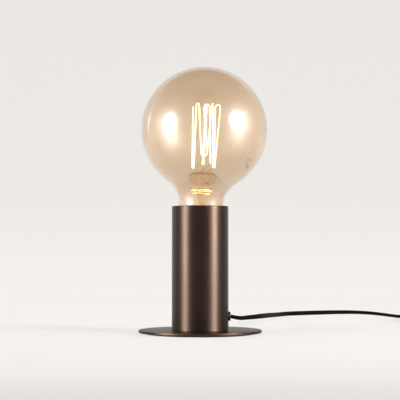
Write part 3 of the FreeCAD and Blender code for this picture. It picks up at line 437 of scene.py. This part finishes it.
def felt():
    """Black felt: short matted fibres."""
    material = new_material("pad_felt", Roughness=1.0, Sheen_Weight=0.4)
    fibres = noise(material, texture_place(material, (1, 1, 0.3)), 1800.0, 5.0, 0.7)
    two_tone(material, fibres, (0.008, 0.008, 0.008), (0.05, 0.05, 0.052), 0.3, 0.8)
    bump(material, fibres, 0.8, 0.0004)
    return material


def glass(name, tint, roughness=0.0, density=40.0, haze=0.0):
    """Tinted clear glass with a blown wall's slight waves; haze softens part of what it mirrors."""
    material = new_material(name, Transmission_Weight=1.0, Roughness=roughness, IOR=1.5,
                            Coat_Weight=haze, Coat_Roughness=0.38, Coat_IOR=1.55)
    waves = noise(material, texture_place(material, (1, 1, 0.6)), density, 1.0)
    two_tone(material, waves, shade_of(tint, 0.985), tint)
    bump(material, waves, 0.05, 0.0002)
    return material


def glowing(name, colour, emission, strength, **values):
    """A surface that gives light: the filament, which is the lamp, and the rod's painted glow."""
    return new_material(name, Base_Color=colour, Emission_Color=emission,
                        Emission_Strength=strength, **values)


def painted_collar_glow():
    """The collar's glass with a painted glow standing in for the filament's light in it, and streaks
    in its depth.
    """
    material = new_material("collar_glow", Roughness=0.2, Emission_Strength=0.26)
    streaks = noise(material, texture_place(material, (1, 1, 2.5)), 260.0, 3.0)
    two_tone(material, streaks, (0.2, 0.14, 0.045), (0.5, 0.38, 0.16), 0.35, 0.65)
    # Painted glow: the emission colour, streaked like the glass
    two_tone(material, streaks, (0.55, 0.36, 0.07), (1.0, 0.76, 0.3), 0.35, 0.65, "Emission Color")
    bump(material, streaks, 0.3, 0.0003)
    return material


def ceramic():
    """Unglazed white insulating ceramic."""
    material = new_material("ceramic_white", Roughness=0.6, Subsurface_Weight=0.05)
    fine = noise(material, texture_place(material, (1, 1, 1)), 500.0, 4.0)
    two_tone(material, fine, (0.72, 0.69, 0.62), (0.86, 0.84, 0.79))
    bump(material, fine, 0.3, 0.0001)
    return material


def webbing():
    """Woven hook and loop strap."""
    material = new_material("tie_plastic", Roughness=0.8, Sheen_Weight=0.3)
    weave = material.node_tree.nodes.new("ShaderNodeTexWave")
    weave.inputs["Scale"].default_value = 600.0
    weave.inputs["Distortion"].default_value = 1.5
    place = texture_place(material, (1, 1, 1))
    material.node_tree.links.new(place, weave.inputs["Vector"])
    two_tone(material, weave.outputs["Fac"], (0.004, 0.004, 0.0045), (0.014, 0.014, 0.015), 0.2, 0.8)
    bump(material, weave.outputs["Fac"], 0.6, 0.0002)
    return material


materials = {
    "bronze_metal": drawn_bronze(),
    "pad_felt": felt(),
    "zinc_steel": metal("zinc_steel", (0.62, 0.62, 0.6), 0.32),
    "holder_plastic": plastic("holder_plastic", (0.006, 0.0057, 0.0054), 0.42),
    "ceramic_white": ceramic(),
    "contact_brass": metal("contact_brass", (0.78, 0.58, 0.27), 0.25, (1, 0.05, 1)),
    "nickel_shell": metal("nickel_shell", (0.7, 0.68, 0.64), 0.2),
    "black_plastic": plastic("black_plastic", (0.004, 0.004, 0.004), 0.4),
    "rocker_plastic": plastic("rocker_plastic", (0.004, 0.004, 0.004), 0.16, 500.0, 0.00001),
    "cord_black": plastic("cord_black", (0.0012, 0.0011, 0.001), 0.75, 900.0, 0.00004, 0.03),
    "core_brown": plastic("core_brown", (0.22, 0.11, 0.055), 0.35),
    "solder_tin": metal("solder_tin", (0.6, 0.6, 0.58), 0.3),
    "black_glass": plastic("black_glass", (0.01, 0.01, 0.013), 0.1, 200.0, 0.00002),
    "amber_glass": glass("amber_glass", (0.865, 0.74, 0.605), haze=0.22),
    "stem_glass": glass("stem_glass", (0.99, 0.965, 0.93), 0.0, 140.0),
    "rod_glass": glass("rod_glass", (1.0, 0.86, 0.5), 0.05, 200.0),
    "support_wire": metal("support_wire", (0.32, 0.26, 0.18), 0.35),
    "tie_plastic": webbing(),
    "pin_nickel": metal("pin_nickel", (0.72, 0.71, 0.68), 0.18, (1, 0.05, 1)),
    "filament_glow": glowing("filament_glow", (0.4, 0.3, 0.2), (1.0, 0.95, 0.37), 3.2,
                             Roughness=0.6),
}
disc_material = spun_bronze()
# The collar's material carries its painted glow
collar_material = painted_collar_glow()
# Painted glow: the glass rod is given emission for the filament's light caught in it
rod_painted_glow = glowing("rod_glow", (1.0, 0.85, 0.5), (1.0, 0.74, 0.16), 0.55, Roughness=0.12,
                       Transmission_Weight=0.5)
lead_material = metal("lead_gold", (0.72, 0.47, 0.12), 0.26, (1, 1, 0.2))


def clear(piece):
    """Clear glass casts no shadow, because the renderer would draw it as if it were solid."""
    piece.visible_shadow = False
    return piece


def dress(piece, slot, body="root", replaced=(), material=None):
    """Gives a piece its material, picked by its slot unless one is given, its body, and hides the
    nodes that it stands for.
    """
    piece.data.materials.clear()
    piece.data.materials.append(material or materials[slot])
    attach(piece, body)
    if replaced:
        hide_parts(*replaced)
    return piece


# ---- carried-over CAD nodes -----------------------------------------------------------
for subpart in frame["record"]["subparts"]:
    node = nodes[subpart["node"]]
    node.data.materials.clear()
    node.data.materials.append(materials[subpart["material_slot"]])


# ---- base and tube --------------------------------------------------------------------
def base_disc():
    """The disc with its eased edges."""
    radius = disc_high.x
    edge = 0.4 * mm
    outline = rounded([(0, disc_low.z, 0), (radius, disc_low.z, edge), (radius, disc_high.z, edge),
                       (0, disc_high.z, 0)])
    piece = lathe("disc", outline, 200)
    dress(piece, "bronze_metal", replaced=["base_disc"], material=disc_material)


def base_pad():
    """The felt pad under the disc."""
    radius = pad_high.x
    edge = 0.25 * mm
    outline = rounded([(0, pad_low.z, 0), (radius, pad_low.z, edge), (radius, pad_high.z, edge),
                       (0, pad_high.z, 0)], 3)
    dress(lathe("pad", outline, 160), "pad_felt", replaced=["base_pad"])


def tube():
    """The tube with its rolled rim; the gland covers its hole."""
    wall = 1.5 * mm
    inner = tube_radius - wall
    rim = 0.7 * mm
    foot = 0.15 * mm
    outline = rounded([(inner, tube_low.z, foot), (tube_radius, tube_low.z, foot),
                       (tube_radius, tube_high.z, rim), (inner, tube_high.z, rim)])
    dress(lathe("tube", outline, 200, closed=True), "bronze_metal", replaced=["lamp_tube"])


base_disc()
base_pad()
tube()


# ---- glass envelope -------------------------------------------------------------------
def globe_outline(inset):
    """(radius, level) points of the envelope from its open end to the top, moved in by an inset."""
    radius = globe_radius - inset
    drop = globe_centre - neck_waist
    hollow = (drop ** 2 + neck_radius ** 2 - globe_radius ** 2) / (2 * (globe_radius - neck_radius))
    hollow_x = neck_radius + hollow
    rise = neck_waist - neck_start
    step = neck_radius - neck_end_radius
    bulge = (rise ** 2 + step ** 2) / (2 * step)
    bulge_x = neck_radius - bulge
    low = math.atan2(-rise, neck_end_radius - bulge_x)
    meet = math.atan2(globe_centre - neck_waist, -hollow_x)
    points = [(neck_end_radius - inset, neck_foot)]
    for k in range(13):
        angle = low * (1 - k / 12)
        reach = bulge - inset
        points.append((bulge_x + reach * math.cos(angle), neck_waist + reach * math.sin(angle)))
    for k in range(1, 21):
        angle = math.pi + (meet - math.pi) * k / 20
        reach = hollow + inset
        points.append((hollow_x + reach * math.cos(angle), neck_waist + reach * math.sin(angle)))
    start = math.atan2(neck_waist - globe_centre, hollow_x)
    for k in range(1, 65):
        angle = start + (math.pi / 2 - start) * k / 64
        points.append((max(radius * math.cos(angle), 0.0), globe_centre + radius * math.sin(angle)))
    points[-1] = (0.0, globe_centre + radius)
    return points


def envelope():
    """The glass wall, outside and inside, open at its foot in the cap."""
    outline = globe_outline(0.0) + globe_outline(glass_wall)[::-1]
    piece = clear(lean(lathe("envelope", outline, 192, sharp=60.0)))
    dress(piece, "amber_glass", "bulb", ["bulb_glass"])


envelope()


# ---- stem, cup and collar -------------------------------------------------------------
def stem():
    """The flared glass foot and tube under the collar."""
    flare = [(10.8, 0.0), (9.9, 1.2), (8.4, 3.5), (7.2, 6.0), (6.5, 8.0), (5.8, 10.6), (5.5, 13.0)]
    wall = 1.0 * mm
    outer = [(r * mm, stem_foot + z * mm) for r, z in flare] + [(5.5 * mm, collar_foot - 0.6 * mm)]
    inner = [(r - wall, z) for r, z in outer]
    outline = inner[::-1] + outer
    piece = clear(lean(lathe("stem", outline, 96, closed=True, sharp=60.0)))
    dress(piece, "stem_glass", "bulb", ["bulb_stem"])


def collar():
    """The lit collar on the stem: a spool with a flared lip at its foot and a wide band on top."""
    lip_and_waist = [(7.8, 0.0, 0.3), (9.1, 0.8, 0.3), (8.4, 2.2, 0.6)]
    corners = [(0, collar_foot, 0)]
    corners += [(r * mm, collar_foot + z * mm, turn * mm) for r, z, turn in lip_and_waist]
    corners += [(collar_radius, collar_foot + 3.4 * mm, 0.5 * mm),
                (collar_radius, collar_top, 0.6 * mm), (0, collar_top, 0)]
    piece = clear(lean(lathe("collar", rounded(corners, 4), 96)))
    dress(piece, "stem_glass", "bulb", material=collar_material)


def cup():
    """The thin glass cup over the collar, open inside."""
    wall = 0.8 * mm
    shape = [(0.0, 0.0), (10.8, 0.0), (11.4, 2.3), (12.0, 4.7), (12.6, 6.6), (13.2, 8.6),
             (13.65, 10.2), (14.0, 11.8), (13.95, 12.7), (13.8, 13.4), (13.4, 14.2), (12.9, 14.8),
             (12.2, 15.3), (11.3, 15.7), (0.0, 15.7)]
    outer = [(r * mm, cup_foot + z * mm) for r, z in shape]
    inner = [(max(r - wall, 0), min(max(z, cup_foot + wall), cup_top - wall)) for r, z in outer]
    shells = [lathe("cup", outer, 96, sharp=60.0), lathe("cup_inside", inner[::-1], 96, sharp=60.0)]
    piece = clear(lean(join("cup", shells)))
    dress(piece, "stem_glass", "bulb", ["stem_cup"])


stem()
collar()
cup()


# ---- filament cage --------------------------------------------------------------------
def cage_point(azimuth, level):
    """A point on the cage, before the rod's lean."""
    reach = cage_top_radius if level > 0.5 else cage_foot_radius
    angle = math.radians(azimuth)
    return Vector((reach * math.cos(angle), reach * math.sin(angle), rod_foot + rod_length * level))


def loop_points(azimuth, level, spread_ratio, heading):
    """Start, crown and end of a loop, its level direction and +1 for a loop at the top."""
    crown = cage_point(azimuth, level)
    up = 1 if level > 0.5 else -1
    angle = math.radians(heading)
    sideways = Vector((math.cos(angle), math.sin(angle), 0))
    middle = crown - Vector((0, 0, up * loop_rise * (1 + 0.9 * spread_ratio)))
    half = sideways * (loop_rise * spread_ratio)
    return middle - half, crown, middle + half, sideways, up


def bend(start, leaving, end, arriving):
    """Points of a smooth bend between two directions, without its first point."""
    handle = 0.42 * (end - start).length
    a, b = start + leaving.normalized() * handle, end - arriving.normalized() * handle
    points = []
    for k in range(1, 9):
        t = k / 8
        s = 1 - t
        points.append(start * s ** 3 + a * (3 * s * s * t) + b * (3 * s * t * t) + end * t ** 3)
    return points


def cage_line():
    """The filament's centreline: straight strands that loop over each support."""
    loops = [loop_points(*loop) for loop in cage_loops]
    last = cage_point(*cage_end)
    targets = [loop[0] for loop in loops[1:]] + [last]
    line = [cage_point(*cage_start)]
    for (start, crown, end, sideways, _), target in zip(loops, targets):
        leaving = start - line[-1]
        line.append(start)
        line += bend(start, leaving, crown, sideways)
        line += bend(crown, sideways, end, target - end)
    line.append(last)
    return line


def evenly(line, step):
    """Points along a line at about even steps."""
    points = [line[0]]
    for a, b in zip(line, line[1:]):
        count = max(1, round((b - a).length / step))
        points += [a.lerp(b, k / count) for k in range(1, count + 1)]
    return points


def filament():
    """The coiled wire, drawn as a tube with a ridge for each turn."""
    centres = evenly(cage_line(), 0.3 * mm)
    scales = [1.0 if i % 2 else 0.8 for i in range(len(centres))]
    tube = sweep("filament", centres, circle_section(filament_radius, 8), scales, sharp=180.0)
    piece = mounted(tube)
    dress(piece, "filament_glow", "bulb", ["bulb_filament"])


def rod():
    """Rod and its two beads in one profile."""
    top = rod_foot + rod_length
    outline = [(0.0, rod_foot - 0.5 * mm)]
    for level in (rod_foot + bead_level, top):
        outline.append((rod_radius, level - bead_radius))
        for k in range(9):
            angle = math.pi * (k / 8 - 0.5)
            reach = rod_radius + (bead_radius - rod_radius) * math.cos(angle)
            outline.append((reach, level + bead_radius * math.sin(angle)))
        outline.append((rod_radius, level + bead_radius))
    outline.append((0.0, top + bead_radius))
    piece = clear(mounted(lathe("rod", outline, 32)))
    dress(piece, "rod_glass", "bulb", ["support_rod"], rod_painted_glow)


def rod_pin():
    """The dark wire pin between the cup and the rod."""
    foot, top = cup_top - 0.7 * mm, rod_foot - 0.4 * mm
    outline = [(0, foot), (pin_radius, foot), (pin_radius, top), (0, top)]
    dress(mounted(lathe("rod_pin", outline, 16)), "support_wire", "bulb")


def hooks():
    """Wires from the beads to the loops, each with its end curled round the filament."""
    wires = []
    for loop in cage_loops:
        _, crown, _, _, up = loop_points(*loop)
        bead = Vector((0, 0, rod_foot + (rod_length if up > 0 else bead_level)))
        root = bead + (crown - bead).normalized() * (bead_radius * 0.9)
        outward = Vector((crown.x, crown.y, 0)).normalized()
        lift = Vector((0, 0, up))
        centres = [root, root.lerp(crown, 0.5) - lift * (0.3 * mm)]
        curl = filament_radius + hook_radius
        for k in range(11):
            turn = 1.7 * math.pi * k / 10 - 0.6 * math.pi
            offset = outward * (curl * math.sin(turn)) - lift * (curl * math.cos(turn))
            centres.append(crown + offset)
        wires.append(sweep("hook", centres, circle_section(hook_radius, 6)))
    piece = mounted(join("hooks", wires))
    dress(piece, "support_wire", "bulb", ["support_hooks"])


def twisted_strand(start, end, phase):
    """One strand of a twisted pair between two points."""
    along = end - start
    side = along.cross(Vector((0, 1, 0))).normalized()
    other = along.normalized().cross(side)
    centres = []
    for k in range(33):
        turn = 8 * math.pi * k / 32 + phase
        offset = side * math.cos(turn) + other * math.sin(turn)
        centres.append(start.lerp(end, k / 32) + offset * lead_radius)
    return sweep("strand", centres, circle_section(lead_radius * 0.8, 6))


def leads():
    """The two wires through the stem and the cup, and a twisted pair that crosses between them."""
    ends = (cage_point(*cage_start), cage_point(*cage_end))
    # Places in millimetres, levels above the collar
    collar = Vector((0, 0, collar_top))
    right = [(2.4, 0.0, -1.0), (6.0, -1.5, 0.6), (5.5, -1.5, 5.1), (5.2, -0.6, 9.6), (2.0, 0.0, 13.6)]
    left = [(-2.4, 0.0, 0.8), (-3.0, 0.0, 6.0), (-2.8, -0.6, 11.0), (-1.9, 0.0, 13.6)]
    crossing = [(5.5, -2.0, 7.6), (-5.7, -2.0, 2.7)]
    wires = []
    for side, tip, middle in zip((1, -1), ends, (right, left)):
        foot = Vector((side * lead_spread, 0, stem_foot - 8.0 * mm))
        route = [foot] + [Vector(place) * mm + collar for place in middle]
        route += [Vector((side * lead_spread * 0.8, 0, cup_top + 1.2 * mm)), tip]
        wires.append(sweep("lead", route, circle_section(lead_radius, 8)))
    high, low = (Vector(place) * mm + collar for place in crossing)
    wires += [twisted_strand(high, low, phase) for phase in (0.0, math.pi)]
    piece = lean(join("leads", wires))
    dress(piece, "support_wire", "bulb", ["lead_wires"], lead_material)


filament()
rod()
rod_pin()
hooks()
leads()


# ---- cord -----------------------------------------------------------------------------
def spline_points(route):
    """Points on the smooth line that the route's points control, in metres."""
    curve = bpy.data.curves.new("route", "CURVE")
    curve.dimensions = "3D"
    curve.resolution_u = 14
    spline = curve.splines.new("NURBS")
    spline.points.add(len(route) - 1)
    for control, (x, y, z) in zip(spline.points, route):
        control.co = (x * mm, y * mm, z * mm, 1.0)
    spline.order_u = 3
    spline.use_endpoint_u = True
    holder = bpy.data.objects.new("route", curve)
    scene.collection.objects.link(holder)
    bpy.context.view_layer.update()
    graph = bpy.context.evaluated_depsgraph_get()
    mesh = bpy.data.meshes.new_from_object(holder.evaluated_get(graph))
    points = [v.co.copy() for v in mesh.vertices]
    bpy.data.meshes.remove(mesh)
    bpy.data.objects.remove(holder)
    bpy.data.curves.remove(curve)
    return points


def travelled(points):
    """Length along the line at each point."""
    lengths = [0.0]
    for a, b in zip(points, points[1:]):
        lengths.append(lengths[-1] + (b - a).length)
    return lengths


def between(keys, share):
    """A value read from (share, value) keys with smooth steps."""
    for (s0, v0), (s1, v1) in zip(keys, keys[1:]):
        if share <= s1:
            t = (share - s0) / (s1 - s0)
            t = min(max(t, 0.0), 1.0)
            return v0 + (v1 - v0) * t * t * (3 - 2 * t)
    return keys[-1][1]


def twin_section():
    """The flex's section: two round halves side by side with a shallow valley between."""
    points = []
    reach = math.radians(118)
    for side in (1, -1):
        for k in range(11):
            angle = -reach + 2 * reach * k / 10
            across = core_offset + core_half * math.cos(angle)
            points.append((side * across, side * core_half * math.sin(angle)))
    return points


def flex(name, points, twist):
    """The flat twin flex along a line, its wide side level and turned by the twist."""
    lengths = travelled(points)
    sides = []
    tangents = frames_along(points)[0]
    for tangent, length in zip(tangents, lengths):
        level = Vector((tangent.y, -tangent.x, 0)).normalized()
        turn = Matrix.Rotation(math.radians(between(twist, length / lengths[-1])), 3, tangent)
        sides.append(turn @ level)
    piece = sweep(name, points, twin_section(), sides=sides, sharp=60.0)
    return dress(piece, "cord_black"), lengths[-1]


def coil_route():
    """Turns that spiral in, climb a layer and spiral out again."""
    points = []
    count = round(coil_turns * coil_points_per_turn)
    for i in range(count + 1):
        turns = coil_turns * i / count
        reach = coil_outer - coil_pitch * min(turns, coil_turns - turns)
        climb = min(max((turns - (coil_turns - coil_climb) / 2) / coil_climb, 0.0), 1.0)
        level = coil_low + coil_step * climb * climb * (3 - 2 * climb)
        angle = math.pi + 2 * math.pi * turns
        across, along = reach * math.cos(angle), reach * math.sin(angle)
        points.append((coil_centre[0] + across, coil_centre[1] + along, level))
    return points


lead_points = spline_points(lead_route)
lead_cord, lead_length = flex("cord_to_switch", lead_points, lead_twist)
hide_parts("cord_lead")
supply_points = spline_points(supply_start + coil_route() + supply_end)
supply_cord, supply_length = flex("cord_to_plug", supply_points, [(0.0, 0.0), (1.0, 0.0)])
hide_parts("cord_mid", "cord_coil", "cord_tail")


def tie():
    """A hook and loop strap round the coil, lapped on top."""
    thick, half = 0.45 * mm, 4.0 * mm
    inner = (coil_outer - coil_pitch * coil_turns / 2) * mm - cord_width / 2 - 0.4 * mm
    outer = coil_outer * mm + cord_width / 2 + 0.4 * mm
    low, high = 0.05 * mm, coil_high * mm + core_half + 0.3 * mm

    def band_outline(inset, turn):
        left, right, foot, top = inner + inset, outer - inset, low + inset, high - inset
        corners = [(left, foot, turn), (right, foot, turn), (right, top, turn), (left, top, turn)]
        return rounded(corners, 5)

    loop, inside = band_outline(0.0, 1.4 * mm), band_outline(thick, 1.0 * mm)
    count = len(loop)
    points, faces = [], []
    for y in (-half, half):
        for x, z in loop + inside:
            points.append((x, y, z))
    n = 2 * count
    for k in range(count):
        m = (k + 1) % count
        faces.append((k, m, n + m, n + k))
        faces.append((count + m, count + k, n + count + k, n + count + m))
        faces.append((m, k, count + k, count + m))
        faces.append((n + k, n + m, n + count + m, n + count + k))
    band = mesh_piece("tie", points, faces)
    x0, x1 = inner + 3 * mm, outer - 4 * mm
    sheet = [(x0, -half), (x1, -half), (x1, half), (x0, half)]
    corners = [(x, y, z) for z in (high - 0.02 * mm, high + thick) for x, y in sheet]
    rim = [(k, (k + 1) % 4, (k + 1) % 4 + 4, k + 4) for k in range(4)]
    lap = mesh_piece("lap", corners, [(3, 2, 1, 0), (4, 5, 6, 7)] + rim)
    piece = join("cord_strap", [band, lap])
    place = Vector((coil_centre[0] * mm, coil_centre[1] * mm, 0))
    piece.data.transform(Matrix.Translation(place) @ Matrix.Rotation(tie_angle, 4, "Z"))
    return dress(piece, "tie_plastic", replaced=["cord_tie"])


strap = tie()


# ---- stage: pale sweep, soft studio light, camera -------------------------------------
# The paper's tint, and its painted light at places along it, darker in front, in metres behind the
# lamp
paper_tint = (1.0, 0.965, 0.93)
paper_painted_light = [(-0.6, 0.6), (-0.4, 0.69), (0.0, 0.7), (0.6, 0.86), (2.0, 0.88), (2.5, 0.83),
                (3.2, 0.82)]
# Its base colour by the lamp, where the lights reach it, and away from it
paper_close = (0.066, 0.067, 0.068)
paper_away = (0.01, 0.0098, 0.0097)
light_aim = Vector((0, 0, 0.17))


def sweep_material():
    """Pale paper: most of its brightness is painted light, a glow graded along it; the rest comes
    from the lights.
    """
    material = new_material("pale_paper", Roughness=0.9, Specular_IOR_Level=0.1,
                            Emission_Strength=1.0)
    tree = material.node_tree
    place = tree.nodes.new("ShaderNodeTexCoord")
    split = tree.nodes.new("ShaderNodeSeparateXYZ")
    tree.links.new(place.outputs["Object"], split.inputs["Vector"])
    total = tree.nodes.new("ShaderNodeMath")
    tree.links.new(split.outputs["Y"], total.inputs[0])
    tree.links.new(split.outputs["Z"], total.inputs[1])
    near_end, far_end = paper_painted_light[0][0], paper_painted_light[-1][0]
    reach = spread(material, total.outputs["Value"], 0.0, 1.0, near_end, far_end)
    stops = []
    for distance, level in paper_painted_light:
        stops.append(((distance - near_end) / (far_end - near_end), shade_of(paper_tint, level)))
    # Painted light: the paper's glow, graded along the sweep
    feed(material, ramp(material, reach, stops), "Emission Color")
    distance = tree.nodes.new("ShaderNodeVectorMath")
    distance.operation = "LENGTH"
    tree.links.new(place.outputs["Object"], distance.inputs[0])
    near = spread(material, distance.outputs["Value"], 0.0, 1.0, 0.25, 0.7)
    two_tone(material, near, paper_close, paper_away, 0.0, 1.0)
    return material


def paper_sweep():
    """Floor that curves up into a backdrop behind the lamp."""
    width, front, back, height, curve = 3.0, -2.4, 2.3, 2.4, 0.6
    profile = [(front, 0.0), (back - curve, 0.0)]
    for k in range(1, 13):
        angle = math.pi / 2 * k / 12
        profile.append((back - curve + curve * math.sin(angle), curve - curve * math.cos(angle)))
    profile.append((back, height))
    points = [(x, y, z) for y, z in profile for x in (-width, width)]
    faces = [(2 * i, 2 * i + 1, 2 * i + 3, 2 * i + 2) for i in range(len(profile) - 1)]
    piece = mesh_piece("paper_sweep", points, faces)
    piece.data.materials.append(sweep_material())


def softbox(name, azimuth, elevation, distance, width, height, radiance):
    """A soft light aimed at the globe, brightest in its middle; azimuth 0 is the camera's side."""
    light = bpy.data.lights.new(name, "AREA")
    light.shape = "RECTANGLE"
    light.size = width
    light.size_y = height
    light.energy = radiance * math.pi * width * height
    light.use_nodes = True
    tree = light.node_tree
    place = tree.nodes.new("ShaderNodeNewGeometry")
    reach = tree.nodes.new("ShaderNodeVectorMath")
    reach.operation = "DISTANCE"
    reach.inputs[1].default_value = (0.5, 0.5, 0.0)
    tree.links.new(place.outputs["Parametric"], reach.inputs[0])
    fade = tree.nodes.new("ShaderNodeMapRange")
    fade.inputs["From Min"].default_value = 0.5
    fade.inputs["From Max"].default_value = 0.0
    tree.links.new(reach.outputs["Value"], fade.inputs["Value"])
    soft = tree.nodes.new("ShaderNodeMath")
    soft.operation = "POWER"
    soft.inputs[1].default_value = 5.0
    tree.links.new(fade.outputs["Result"], soft.inputs[0])
    tree.links.new(soft.outputs["Value"], tree.nodes["Emission"].inputs["Strength"])
    lamp = bpy.data.objects.new(name, light)
    a, e = math.radians(azimuth), math.radians(elevation)
    outward = Vector((math.sin(a) * math.cos(e), -math.cos(a) * math.cos(e), math.sin(e)))
    lamp.location = light_aim + distance * outward
    lamp.rotation_euler = (light_aim - lamp.location).to_track_quat("-Z", "Y").to_euler()
    lamp.visible_camera = False
    lamp.visible_transmission = False
    scene.collection.objects.link(lamp)


def surroundings():
    """A pale room up to head height and dark above; diffuse surfaces get little of it."""
    world = bpy.data.worlds.new("studio")
    world.use_nodes = True
    tree = world.node_tree
    place = tree.nodes.new("ShaderNodeTexCoord")
    split = tree.nodes.new("ShaderNodeSeparateXYZ")
    tree.links.new(place.outputs["Generated"], split.inputs["Vector"])
    height = tree.nodes.new("ShaderNodeMapRange")
    height.interpolation_type = "SMOOTHSTEP"
    height.inputs["From Min"].default_value = 0.4
    height.inputs["From Max"].default_value = 0.95
    height.inputs["To Min"].default_value = 1.0
    height.inputs["To Max"].default_value = 0.15
    tree.links.new(split.outputs["Z"], height.inputs["Value"])
    rays = tree.nodes.new("ShaderNodeLightPath")
    seen = tree.nodes.new("ShaderNodeMath")
    seen.operation = "MAXIMUM"
    tree.links.new(height.outputs["Result"], seen.inputs[0])
    tree.links.new(rays.outputs["Is Camera Ray"], seen.inputs[1])
    choice = tree.nodes.new("ShaderNodeMix")
    choice.inputs["B"].default_value = 0.06
    tree.links.new(rays.outputs["Is Diffuse Ray"], choice.inputs["Factor"])
    tree.links.new(seen.outputs["Value"], choice.inputs["A"])
    background = tree.nodes["Background"]
    background.inputs["Color"].default_value = (0.84, 0.81, 0.775, 1.0)
    tree.links.new(choice.outputs["Result"], background.inputs["Strength"])
    scene.world = world


def lens_glow():
    """A slight glow round what is brighter than white."""
    scene.use_nodes = True
    tree = scene.node_tree
    tree.nodes.clear()
    layers = tree.nodes.new("CompositorNodeRLayers")
    glare = tree.nodes.new("CompositorNodeGlare")
    glare.glare_type = "FOG_GLOW"
    glare.quality = "HIGH"
    glare.inputs["Threshold"].default_value = 1.0
    glare.inputs["Strength"].default_value = 0.5
    glare.inputs["Size"].default_value = 0.25
    output = tree.nodes.new("CompositorNodeComposite")
    tree.links.new(layers.outputs["Image"], glare.inputs["Image"])
    tree.links.new(glare.outputs["Image"], output.inputs["Image"])


def camera():
    """The camera at the photograph's place and angle."""
    view = bpy.data.cameras.new("camera")
    view.sensor_width = sensor_width
    view.lens = focal_pixels / image_size * sensor_width
    eye = bpy.data.objects.new("camera", view)
    eye.location = camera_place
    eye.rotation_euler = (math.radians(90 + camera_pitch), 0, 0)
    scene.collection.objects.link(eye)
    scene.camera = eye


paper_sweep()
softbox("left_box", azimuth=-64, elevation=7, distance=1.25, width=1.2, height=1.5, radiance=265.0)
softbox("right_box", azimuth=61, elevation=12, distance=1.25, width=1.15, height=1.2, radiance=410.0)
softbox("rear_strip", azimuth=-121, elevation=12, distance=1.4, width=0.8, height=1.6, radiance=5.0)
surroundings()
lens_glow()
camera()
scene.view_settings.view_transform = "Standard"
